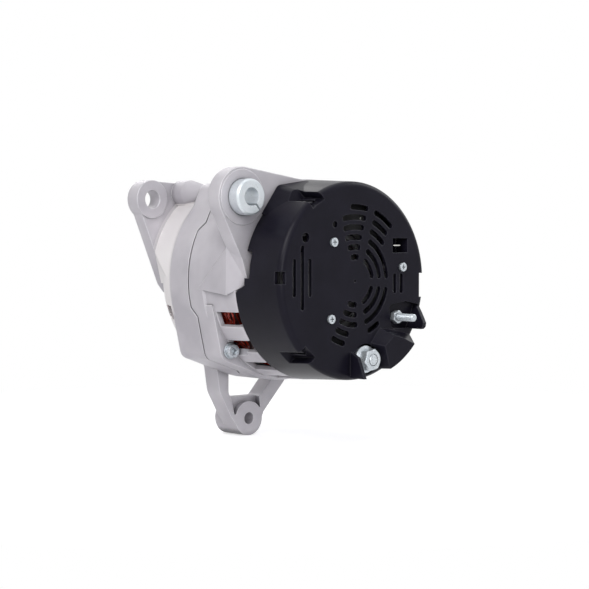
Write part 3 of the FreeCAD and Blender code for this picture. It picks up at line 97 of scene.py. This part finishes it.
# Strands over its crown: the same, then how deep they lie, how far the first is from the inner radius, how
# far they are apart and how far they sway
CROWN_STRANDS = 4
CROWN_STRAND_RADIUS = 0.42
CROWN_STEPS = 8
CROWN_SPAN = 3.2
CROWN_SCATTER = 0.3
CROWN_DEPTH = 0.15
CROWN_FIRST = 1.5
CROWN_APART = 1.6
CROWN_SWAY = 1.1

# The two terminal studs: place, radius, pitch, tip, end of the thread and the head behind the cover
B_PLUS = dict(x=9.5, z=-51.8, radius=4.0, pitch=1.25, tip=-8.0, end=26.0, head=6.0, head_end=30.5, sides=6)
D_PLUS = dict(x=40.5, z=-25.0, radius=2.5, pitch=0.8, tip=-14.6, end=17.0, head=4.5, head_end=19.5, sides=32,
              core=2.3, core_start=0.0)
STUD_SIDES = 40
RINGS_PER_PITCH = 8
THREAD_DEPTH = 0.61
THREAD_FLAT = 0.125
CHAMFER = 1.2

# The low boss on the rear lug's face: its axis, its sides and its outline as radius and station
LUG_X = -67.4
LUG_Z = 54.4
BOSS_SIDES = 96
BOSS_OUTLINE = ((12.1, 34.05), (12.1, 33.6), (17.9, 33.6), (18.25, 33.85), (18.25, 34.05))

# The brush springs: where they start and end along X, their stations, their size and the brushes' travel
SPRING_START = -31.0
SPRING_END = -23.6
SPRING_STATIONS = (("outer", 11.5), ("inner", 20.5))
SPRING_RADIUS = 2.1
SPRING_WIRE = 0.25
SPRING_PLAY = 0.02
SPRING_TURNS = 6
SPRING_STEPS = 16
CLOSED_TURN = 0.9
CLOSED_RISE = 0.55

# The shoulder of the drive end bracket, where a highlight is painted: its stations, largest radius, lowest
# height and the tone of the painted highlight
SHOULDER_STATIONS = (107.4, 131.3)
SHOULDER_RADIUS = 69.2
SHOULDER_LOWEST = -57.0
SHOULDER_FADE = 0.3
SHOULDER_HIGHLIGHT_TONE = (0.76, 0.735, 0.74)

# Edges that bend by more than these degrees stay sharp, on CAD nodes, on pieces built here and on wire
SHARP_NODE = 28.0
SHARP_PIECE = 35.0
SHARP_WIRE = 60.0

# Materials: the samples of edges and corners, the spans that their shares run over, for the highlight painted
# on edges and the shade painted in corners, and the tone of that painted shade
SHADING_SAMPLES = 6
NOISE_SPAN = (0.3, 0.7)
PATCH_SPAN = (0.32, 0.68)
EDGE_SPAN = (0.995, 0.86)
PAINTED_SHADE_SPAN = (0.85, 0.25)
PAINTED_SHADE_TONE = 0.25

# Grain and colour patches of a surface, and the rings, patches and edges of a turned one
PATCH_DETAIL = 3.0
GRAIN_DETAIL = 6.0
GRAIN_ROUGHNESS = 0.65
GRAIN_RELIEF = 0.15
RING_DETAIL = 2.0
RING_RELIEF = 0.05
RING_STRENGTH = 0.12
RING_SCALE = (60.0, 6000.0, 60.0)
TURNED_PATCH = 90.0
TURNED_EDGE = 0.3

# The floor in metres: its half width, its two tones, their scale, its gloss, how far it is lifted, and the
# distances and the middle that it runs out to white from
FLOOR_HALF = 6.0
FLOOR_TONES = ((0.8, 0.8, 0.81), (0.83, 0.83, 0.84))
FLOOR_PATCH = 3.0
FLOOR_ROUGHNESS = 0.9
FLOOR_LIFT = 0.5
FLOOR_FADE = (0.12, 0.42)
FLOOR_MIDDLE = (0.0, -0.07, cad_box[0][2])

# The background's white, and the tone and strength of the soft light from all round
WHITE = (1.0, 1.0, 1.0, 1.0)
SKY_TONE = (0.95, 0.97, 1.0, 1.0)
SKY_STRENGTH = 0.17


def at(x, station, z):
    return Vector((x, station - BELT_STATION, z)) * MM


def round_axis(radius, angle, station):
    return at(radius * math.cos(angle), station, radius * math.sin(angle))


# Nodes of a material

def new_material(name):
    material = bpy.data.materials.new(name)
    material.use_nodes = True
    tree = material.node_tree
    tree.nodes.clear()
    output = tree.nodes.new("ShaderNodeOutputMaterial")
    shader = tree.nodes.new("ShaderNodeBsdfPrincipled")
    tree.links.new(shader.outputs["BSDF"], output.inputs["Surface"])
    return material, tree, shader


def object_place(tree):
    return tree.nodes.new("ShaderNodeTexCoord").outputs["Object"]


def noise(tree, coordinates, scale, detail=4.0, roughness=0.55):
    node = tree.nodes.new("ShaderNodeTexNoise")
    node.inputs["Scale"].default_value = scale
    node.inputs["Detail"].default_value = detail
    node.inputs["Roughness"].default_value = roughness
    tree.links.new(coordinates, node.inputs["Vector"])
    return node.outputs["Fac"]


def ramp(tree, value, span, dark, light):
    node = tree.nodes.new("ShaderNodeValToRGB")
    for element, place, colour in zip(node.color_ramp.elements, span, (dark, light)):
        element.position = place
        element.color = (*colour, 1.0)
    tree.links.new(value, node.inputs["Fac"])
    return node.outputs["Color"]


def clamped_range(tree, value, first, last, low=0.0, high=1.0):
    """The low value at first and the high one at last, held outside of them."""
    node = tree.nodes.new("ShaderNodeMapRange")
    node.inputs["From Min"].default_value = first
    node.inputs["From Max"].default_value = last
    node.inputs["To Min"].default_value = low
    node.inputs["To Max"].default_value = high
    tree.links.new(value, node.inputs["Value"])
    return node.outputs["Result"]


def rounded(tree, radius):
    node = tree.nodes.new("ShaderNodeBevel")
    node.samples = SHADING_SAMPLES
    node.inputs["Radius"].default_value = radius
    return node.outputs["Normal"]


def bump(tree, height, strength, distance, normal=None):
    node = tree.nodes.new("ShaderNodeBump")
    node.inputs["Strength"].default_value = strength
    node.inputs["Distance"].default_value = distance
    tree.links.new(height, node.inputs["Height"])
    if normal:
        tree.links.new(normal, node.inputs["Normal"])
    return node.outputs["Normal"]


def link_or_set(tree, value, socket):
    """Constants go on the socket itself, other values are linked to it."""
    if isinstance(value, tuple):
        socket.default_value = (*value, 1.0)
    elif isinstance(value, float):
        socket.default_value = value
    else:
        tree.links.new(value, socket)


def mixed(tree, share, first, second):
    node = tree.nodes.new("ShaderNodeMix")
    node.data_type = "RGBA"
    link_or_set(tree, share, node.inputs[0])
    link_or_set(tree, first, node.inputs[6])
    link_or_set(tree, second, node.inputs[7])
    return node.outputs[2]


def maths(tree, operation, first, second=0.0):
    node = tree.nodes.new("ShaderNodeMath")
    node.operation = operation
    link_or_set(tree, first, node.inputs[0])
    link_or_set(tree, second, node.inputs[1])
    return node.outputs["Value"]


def edge_share(tree, softened):
    """One where a softened edge bends away from the flat surface beside it: the share of the highlight
    painted on edges.
    """
    node = tree.nodes.new("ShaderNodeVectorMath")
    node.operation = "DOT_PRODUCT"
    tree.links.new(softened, node.inputs[0])
    tree.links.new(tree.nodes.new("ShaderNodeNewGeometry").outputs["Normal"], node.inputs[1])
    return clamped_range(tree, node.outputs["Value"], *EDGE_SPAN)


def painted_shade_share(tree, distance):
    """Painted shade: one in corners and bores, where shade falls, zero on open surfaces."""
    node = tree.nodes.new("ShaderNodeAmbientOcclusion")
    node.samples = SHADING_SAMPLES
    node.inputs["Distance"].default_value = distance * MM
    return clamped_range(tree, node.outputs["AO"], *PAINTED_SHADE_SPAN)


# Materials

def surface(name, dark, light, metallic, rough, grain, strength, edge, patch=60.0, specular=0.5,
            painted_highlight=None, painted_shade=None):
    """Procedural surface: slow colour patches, grain in the bump, uneven gloss and softened edges.

    The painted highlight argument gives the colour and share of the highlight painted on edges, and the
    painted shade argument the reach in millimetres and darkest share of the shade painted in corners.
    """
    material, tree, shader = new_material(name)
    place = object_place(tree)
    slow = noise(tree, place, patch, PATCH_DETAIL)
    fine = noise(tree, place, grain, GRAIN_DETAIL, GRAIN_ROUGHNESS)
    colour = ramp(tree, slow, PATCH_SPAN, dark, light)
    normal = rounded(tree, edge * MM) if edge else None
    # Painted highlight: softened edges are lightened towards the edge colour
    if painted_highlight:
        colour = mixed(tree, maths(tree, "MULTIPLY", edge_share(tree, normal), painted_highlight[1]), colour, painted_highlight[0])
    # Painted shade: corners and bores are darkened towards a dark copy of the colour
    if painted_shade:
        depth = maths(tree, "MULTIPLY", painted_shade_share(tree, painted_shade[0]), painted_shade[1])
        colour = mixed(tree, depth, colour, tuple(channel * PAINTED_SHADE_TONE for channel in dark))
    tree.links.new(colour, shader.inputs["Base Color"])
    tree.links.new(clamped_range(tree, fine, *NOISE_SPAN, *rough), shader.inputs["Roughness"])
    shader.inputs["Metallic"].default_value = metallic
    shader.inputs["Specular IOR Level"].default_value = specular
    tree.links.new(bump(tree, fine, strength, GRAIN_RELIEF * MM, normal), shader.inputs["Normal"])
    return material


def turned_surface(name, dark, light, rough):
    """Machined metal with fine rings round the rotor axis."""
    material, tree, shader = new_material(name)
    place = object_place(tree)
    slow = noise(tree, place, TURNED_PATCH, PATCH_DETAIL)
    stretch = tree.nodes.new("ShaderNodeMapping")
    stretch.inputs["Scale"].default_value = RING_SCALE
    tree.links.new(place, stretch.inputs["Vector"])
    rings = noise(tree, stretch.outputs["Vector"], 1.0, RING_DETAIL)
    softened = rounded(tree, TURNED_EDGE * MM)
    tree.links.new(ramp(tree, slow, NOISE_SPAN, dark, light), shader.inputs["Base Color"])
    tree.links.new(clamped_range(tree, rings, *NOISE_SPAN, *rough), shader.inputs["Roughness"])
    shader.inputs["Metallic"].default_value = 1.0
    tree.links.new(bump(tree, rings, RING_STRENGTH, RING_RELIEF * MM, softened), shader.inputs["Normal"])
    return material


def paint_shoulder_highlight(material):
    """Band painted brighter on the shoulder of the drive end bracket: a painted highlight where light falls
    on it.
    """
    tree = material.node_tree
    shader = next(node for node in tree.nodes if node.type == "BSDF_PRINCIPLED")
    cast = shader.inputs["Base Color"].links[0].from_socket
    parts = tree.nodes.new("ShaderNodeSeparateXYZ")
    tree.links.new(object_place(tree), parts.inputs["Vector"])
    squares = [maths(tree, "MULTIPLY", parts.outputs[axis], parts.outputs[axis]) for axis in "XZ"]
    radius = maths(tree, "SQRT", maths(tree, "ADD", *squares))
    first, last = [(station - BELT_STATION) * MM for station in SHOULDER_STATIONS]
    limit = SHOULDER_RADIUS * MM
    lowest = SHOULDER_LOWEST * MM
    fade = SHOULDER_FADE * MM
    highlight_share = clamped_range(tree, parts.outputs["Y"], first - fade, first + fade)
    for value, outer, inner in ((parts.outputs["Y"], last + fade, last - fade),
                                (radius, limit + fade, limit - fade),
                                (parts.outputs["Z"], lowest - fade, lowest + fade)):
        highlight_share = maths(tree, "MULTIPLY", highlight_share, clamped_range(tree, value, outer, inner))
    # Painted highlight: the band on the shoulder is mixed towards a lighter tone
    tree.links.new(mixed(tree, highlight_share, cast, SHOULDER_HIGHLIGHT_TONE), shader.inputs["Base Color"])
    return material


# Cast aluminium, with a highlight painted on its edges and shade painted in its corners
CAST = dict(dark=(0.42, 0.403, 0.436), light=(0.55, 0.531, 0.562), metallic=0.25, rough=(0.38, 0.56),
            grain=1400.0, strength=0.35, edge=1.1, patch=26.0, specular=0.3,
            painted_highlight=((0.82, 0.81, 0.84), 0.6), painted_shade=(6.0, 0.85))
# Surfaces with an edge colour get a highlight painted on their edges, and those with a corner reach get shade
# painted in their corners
SURFACES = {
    "cast_aluminium": CAST,
    "cover_plastic": dict(dark=(0.0068, 0.0062, 0.0112), light=(0.0094, 0.0086, 0.0152), metallic=0.0,
                          rough=(0.26, 0.36), grain=2600.0, strength=0.1, edge=0.8, patch=45.0, specular=0.1,
                          painted_highlight=((0.065, 0.065, 0.08), 0.5), painted_shade=(6.0, 0.8)),
    "zinc_steel": dict(dark=(0.47, 0.515, 0.555), light=(0.58, 0.615, 0.65), metallic=0.6, rough=(0.24, 0.34),
                       grain=900.0, strength=0.05, edge=0.35, patch=90.0, painted_shade=(1.8, 0.95)),
    "laminated_steel": dict(dark=(0.16, 0.16, 0.17), light=(0.26, 0.26, 0.27), metallic=0.9,
                            rough=(0.35, 0.55), grain=1200.0, strength=0.2, edge=0.1),
    "forged_steel": dict(dark=(0.2, 0.2, 0.21), light=(0.32, 0.32, 0.33), metallic=0.95, rough=(0.3, 0.5),
                         grain=900.0, strength=0.25, edge=0.3),
    "fan_steel": dict(dark=(0.4, 0.41, 0.43), light=(0.52, 0.53, 0.55), metallic=1.0, rough=(0.25, 0.4),
                      grain=700.0, strength=0.12, edge=0.2),
    "red_enamel_wire": dict(dark=(0.19, 0.012, 0.006), light=(0.52, 0.042, 0.018), metallic=0.15,
                            rough=(0.1, 0.24), grain=500.0, strength=0.06, edge=0.0, patch=260.0,
                            painted_shade=(3.5, 0.97)),
    "heatsink_aluminium": dict(dark=(0.4, 0.4, 0.41), light=(0.5, 0.5, 0.52), metallic=0.8,
                               rough=(0.35, 0.5), grain=900.0, strength=0.2, edge=0.2),
    "tinned_metal": dict(dark=(0.6, 0.6, 0.57), light=(0.74, 0.74, 0.71), metallic=1.0, rough=(0.22, 0.4),
                         grain=900.0, strength=0.15, edge=0.15),
    "board_plastic": dict(dark=(0.012, 0.012, 0.013), light=(0.022, 0.022, 0.024), metallic=0.0,
                          rough=(0.4, 0.55), grain=1800.0, strength=0.2, edge=0.3),
    "carbon": dict(dark=(0.02, 0.02, 0.02), light=(0.04, 0.04, 0.042), metallic=0.1, rough=(0.5, 0.7),
                   grain=2200.0, strength=0.4, edge=0.1),
}
TURNED_SURFACES = {
    "spring_steel": ((0.5, 0.5, 0.5), (0.6, 0.6, 0.6), (0.2, 0.35)),
    "bearing_steel": ((0.66, 0.67, 0.69), (0.76, 0.77, 0.79), (0.08, 0.2)),
    "ring_metal": ((0.62, 0.33, 0.2), (0.74, 0.42, 0.27), (0.15, 0.3)),
    "pulley_steel": ((0.36, 0.37, 0.39), (0.46, 0.47, 0.49), (0.22, 0.38)),
}
# The bushing, with shade painted in its corners and bores
BUSHING_ZINC = dict(dark=(0.6, 0.645, 0.68), light=(0.68, 0.715, 0.745), metallic=0.4, rough=(0.26, 0.36),
                    grain=900.0, strength=0.05, edge=0.5, patch=70.0, painted_shade=(1.2, 0.7))
WINDING_VARNISH = dict(dark=(0.03, 0.004, 0.003), light=(0.06, 0.008, 0.005), metallic=0.1,
                       rough=(0.25, 0.45), grain=500.0, strength=0.2, edge=0.0, patch=200.0)

looks = {name: surface(name, **facts) for name, facts in SURFACES.items()}
looks.update({name: turned_surface(name, *facts) for name, facts in TURNED_SURFACES.items()})
slot_of = {part["node"]: part["material_slot"] for part in frame["record"]["subparts"]}
own_looks = {
    # The drive end bracket's cast surface, with a highlight painted on its shoulder
    "drive_end_bracket": paint_shoulder_highlight(surface("cast_aluminium_shoulder_highlight", **CAST)),
    "pivot_bushing": surface("bushing_zinc", **BUSHING_ZINC),
    "stator_winding": surface("winding_varnish", **WINDING_VARNISH),
}


def dress(obj, material):
    obj.data.materials.clear()
    obj.data.materials.append(material)


for node_name, node in nodes.items():
    dress(node, own_looks.get(node_name, looks[slot_of[node_name]]))
    node.data.shade_smooth()
    node.data.set_sharp_from_angle(angle=math.radians(SHARP_NODE))


# Meshes from rings of points

def object_from(name, build_mesh, slot, sharp=SHARP_PIECE):
    mesh = bpy.data.meshes.new(name)
    shape = bmesh.new()
    build_mesh(shape)
    bmesh.ops.recalc_face_normals(shape, faces=shape.faces)
    shape.to_mesh(mesh)
    shape.free()
    obj = bpy.data.objects.new(name, mesh)
    bpy.context.scene.collection.objects.link(obj)
    mesh.shade_smooth()
    mesh.set_sharp_from_angle(angle=math.radians(sharp))
    dress(obj, looks[slot])
    return obj


def turns(sides):
    return [2 * math.pi * j / sides for j in range(sides)]


def circle(shape, x, station, z, radius, sides):
    return [shape.verts.new(at(x + radius * math.cos(turn), station, z + radius * math.sin(turn)))
            for turn in turns(sides)]


def skin(shape, rings):
    """Quads from each ring of points to the next."""
    for near, far in zip(rings, rings[1:]):
        for j in range(len(near)):
            k = (j + 1) % len(near)
            shape.faces.new((near[j], near[k], far[k], far[j]))


def capped_skin(shape, rings):
    skin(shape, rings)
    shape.faces.new(rings[0])
    shape.faces.new(rings[-1])


def tube_along(shape, points, radius, sides=6, reference=(0, 1, 0)):
    """Closed tube whose ring points start square to the reference direction."""
    rings = []
    for i, point in enumerate(points):
        before = points[max(i - 1, 0)]
        after = points[min(i + 1, len(points) - 1)]
        along = (after - before).normalized()
        side = along.cross(Vector(reference)).normalized()
        up = side.cross(along)
        rings.append([shape.verts.new(point + radius * (math.cos(turn) * side + math.sin(turn) * up))
                      for turn in turns(sides)])
    capped_skin(shape, rings)


# Threaded studs

def threaded_stud(shape, x, z, radius, pitch, tip, end, head, head_end, sides, core=None, core_start=0.0):
    """Closed threaded rod: rings of points whose radius follows the thread's helix, then a head."""
    depth = THREAD_DEPTH * pitch
    chamfer = depth * CHAMFER
    count = int((end - tip) / pitch * RINGS_PER_PITCH)
    rings = []
    for i in range(count + 1):
        station = tip + (end - tip) * i / count
        ring = []
        for j, turn in enumerate(turns(STUD_SIDES)):
            phase = ((station - tip) / pitch - j / STUD_SIDES) % 1.0
            height = abs(2 * phase - 1)
            groove = (1 + 2 * THREAD_FLAT) * height - THREAD_FLAT
            reach = radius - depth * min(1.0, max(0.0, groove))
            reach = min(reach, radius - chamfer + (station - tip) * CHAMFER)
            if core and station >= core_start:
                reach = min(reach, core)
            ring.append(shape.verts.new(at(x + reach * math.cos(turn), station, z + reach * math.sin(turn))))
        rings.append(ring)
    capped_skin(shape, rings)
    capped_skin(shape, [circle(shape, x, station, z, head, sides) for station in (end, head_end)])


for node_name, facts in (("b_plus_stud", B_PLUS), ("d_plus_stud", D_PLUS)):
    stud = object_from(node_name + "_threaded", lambda shape: threaded_stud(shape, **facts), "zinc_steel")
    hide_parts(node_name)
    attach(stud, "housing")


# Low round boss on the rear lug's face, round the split bushing

def lug_boss(shape):
    """Thin ring with a chamfered outer edge, sunk slightly into the face."""
    rings = [circle(shape, LUG_X, station, LUG_Z, radius, BOSS_SIDES) for radius, station in BOSS_OUTLINE]
    skin(shape, rings + rings[:1])


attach(object_from("rear_lug_boss", lug_boss, "cast_aluminium"), "housing")


# Coil ends of the stator: strands that arch from slot to slot over the varnished ring

def coil_end(shape, start, direction, overhang, seed):
    """Strands over the outer side and the crown of one coil end, about three slots per arch."""
    rng = random.Random(seed)
    step = 2 * math.pi / SLOTS
    crown = start + direction * (overhang - CROWN_DEPTH)

    def scatter(reach):
        return rng.uniform(-reach, reach)

    for slot in range(SLOTS):
        for strand in range(SIDE_STRANDS):
            first = step * (slot + scatter(SIDE_SCATTER[0]))
            span = step * (SIDE_SPAN + scatter(SIDE_SCATTER[1])) * (1 if (slot + strand) % 2 else -1)
            reach = overhang * (SIDE_REACH + SIDE_REACH_STEP * strand) + scatter(SIDE_SCATTER[2])
            radius = WINDING_OUTER + SIDE_PROUD - SIDE_DEEPER * (strand % 2)
            points = []
            for i in range(SIDE_STEPS + 1):
                share = i / SIDE_STEPS
                angle = first + span * share
                rise = reach * math.sin(math.pi * share) ** ARCH_POWER
                points.append(round_axis(radius, angle, start + direction * rise))
            tube_along(shape, points, SIDE_STRAND_RADIUS * MM)
        for strand in range(CROWN_STRANDS):
            first = step * (slot + scatter(CROWN_SCATTER))
            span = step * (CROWN_SPAN + scatter(CROWN_SCATTER))
            low = WINDING_INNER + CROWN_FIRST + CROWN_APART * strand
            points = []
            for i in range(CROWN_STEPS + 1):
                share = i / CROWN_STEPS
                angle = first + span * share
                radius = low + CROWN_SWAY * math.sin(math.pi * share + strand)
                points.append(round_axis(radius, angle, crown))
            tube_along(shape, points, CROWN_STRAND_RADIUS * MM)


for label, *facts in COIL_ENDS:
    strands = object_from("winding_strands_" + label, lambda shape: coil_end(shape, *facts),
                          "red_enamel_wire", SHARP_WIRE)
    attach(strands, "housing")


# Brush springs: coils between the regulator's wall and the brush, built at one length, though the real ones
# shorten as the brush moves in

def coil_spring(shape, station):
    """Coil along X whose two end turns lie close together, as a cut and closed spring's do."""
    free = SPRING_END - SPRING_START - 2 * SPRING_WIRE - 2 * SPRING_PLAY
    middle = SPRING_RADIUS - SPRING_WIRE
    steps = SPRING_TURNS * SPRING_STEPS
    rises = []
    for i in range(steps):
        turn = (i + 0.5) / SPRING_STEPS
        rises.append(CLOSED_RISE if min(turn, SPRING_TURNS - turn) < CLOSED_TURN else 1.0)
    points = []
    for i in range(steps + 1):
        angle = 2 * math.pi * i / SPRING_STEPS
        x = SPRING_START + SPRING_PLAY + SPRING_WIRE + free * sum(rises[:i]) / sum(rises)
        points.append(at(x, station + middle * math.cos(angle), middle * math.sin(angle)))
    tube_along(shape, points, SPRING_WIRE * MM, sides=8, reference=(1, 0, 0))


for label, station in SPRING_STATIONS:
    spring = object_from(label + "_brush_spring_coiled", lambda shape: coil_spring(shape, station),
                         "spring_steel", SHARP_WIRE)
    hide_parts(label + "_brush_spring")
    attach(spring, "housing")
    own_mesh(spring)


# Floor, light and camera

def background_share(tree):
    """One for rays from the camera, from metal and through glass, which all meet the white background."""
    rays = tree.nodes.new("ShaderNodeLightPath")
    mirrored = maths(tree, "MAXIMUM", rays.outputs["Is Glossy Ray"], rays.outputs["Is Transmission Ray"])
    return maths(tree, "MAXIMUM", rays.outputs["Is Camera Ray"], mirrored)


def glow(tree, kind, colour, strength=1.0):
    node = tree.nodes.new(kind)
    node.inputs["Color"].default_value = colour
    link_or_set(tree, strength, node.inputs["Strength"])
    return node.outputs[0]


def joined(tree, kind, first, second, share=None):
    """Mix or sum of two shaders."""
    node = tree.nodes.new(kind)
    if share:
        tree.links.new(share, node.inputs["Fac"])
    for socket, shader in zip(node.inputs[-2:], (first, second)):
        tree.links.new(shader, socket)
    return node.outputs["Shader"]


def stage_surface():
    """Pale floor that keeps the shadow near the part and runs out to white, as the background does."""
    material, tree, shader = new_material("floor_pale")
    place = object_place(tree)
    tint = ramp(tree, noise(tree, place, FLOOR_PATCH), NOISE_SPAN, *FLOOR_TONES)
    tree.links.new(tint, shader.inputs["Base Color"])
    shader.inputs["Roughness"].default_value = FLOOR_ROUGHNESS
    seen = background_share(tree)
    lift = glow(tree, "ShaderNodeEmission", WHITE, maths(tree, "MULTIPLY", seen, FLOOR_LIFT))
    lifted = joined(tree, "ShaderNodeAddShader", shader.outputs["BSDF"], lift)
    distance = tree.nodes.new("ShaderNodeVectorMath")
    distance.operation = "DISTANCE"
    distance.inputs[1].default_value = FLOOR_MIDDLE
    tree.links.new(place, distance.inputs[0])
    far = maths(tree, "MULTIPLY", clamped_range(tree, distance.outputs["Value"], *FLOOR_FADE), seen)
    run_out = joined(tree, "ShaderNodeMixShader", lifted, glow(tree, "ShaderNodeEmission", WHITE), far)
    output = next(node for node in tree.nodes if node.type == "OUTPUT_MATERIAL")
    tree.links.new(run_out, output.inputs["Surface"])
    return material


corners = [(x * FLOOR_HALF, y * FLOOR_HALF, cad_box[0][2]) for x, y in ((-1, -1), (1, -1), (1, 1), (-1, 1))]
floor_mesh = bpy.data.meshes.new("floor")
floor_mesh.from_pydata(corners, [], [(0, 1, 2, 3)])
floor = bpy.data.objects.new("floor", floor_mesh)
bpy.context.scene.collection.objects.link(floor)
dress(floor, stage_surface())


def softbox(name, place, aim, size, power, colour):
    data = bpy.data.lights.new(name, "AREA")
    data.shape = "RECTANGLE"
    data.size = size[0]
    data.size_y = size[1]
    data.energy = power
    data.color = colour
    lamp = bpy.data.objects.new(name, data)
    lamp.location = place
    lamp.rotation_euler = (Vector(aim) - Vector(place)).to_track_quat("-Z", "Y").to_euler()
    bpy.context.scene.collection.objects.link(lamp)


softbox("key_top_left", (-1.45, -0.9, 1.3), (0, -0.08, 0), (1.0, 1.0), 25.0, (1.0, 0.985, 0.98))
softbox("front", (-1.0, -1.85, 0.42), (0, -0.1, 0), (0.7, 1.05), 13.0, (0.98, 0.985, 1.0))
softbox("top", (0.1, 0.1, 1.7), (0, -0.05, 0), (1.3, 1.3), 8.0, (0.97, 0.98, 1.0))
softbox("rim_right", (1.5, -0.5, 0.9), (0, -0.1, 0), (0.7, 1.2), 8.0, (0.96, 0.98, 1.0))
softbox("drive_side", (0.6, 1.7, 0.9), (0, -0.05, 0), (1.0, 1.0), 9.0, (1.0, 0.99, 0.98))


def studio_world():
    """Soft light from all round, which shows as white where the background is seen."""
    world = bpy.data.worlds.new("studio")
    world.use_nodes = True
    tree = world.node_tree
    tree.nodes.clear()
    output = tree.nodes.new("ShaderNodeOutputWorld")
    soft = glow(tree, "ShaderNodeBackground", SKY_TONE, SKY_STRENGTH)
    white = glow(tree, "ShaderNodeBackground", WHITE)
    mix = joined(tree, "ShaderNodeMixShader", soft, white, background_share(tree))
    tree.links.new(mix, output.inputs["Surface"])
    return world


bpy.context.scene.world = studio_world()

camera_data = bpy.data.cameras.new("camera")
camera_data.sensor_width = SENSOR
camera_data.lens = FOCAL_PIXELS * SENSOR / FRAME_PIXELS
camera = bpy.data.objects.new("camera", camera_data)
camera.matrix_world = (Matrix.Translation(CAMERA_PLACE)
                       @ CAMERA_FORWARD.to_track_quat("-Z", "Y").to_matrix().to_4x4())
bpy.context.scene.collection.objects.link(camera)
bpy.context.scene.camera = camera
bpy.context.scene.view_settings.view_transform = "Standard"
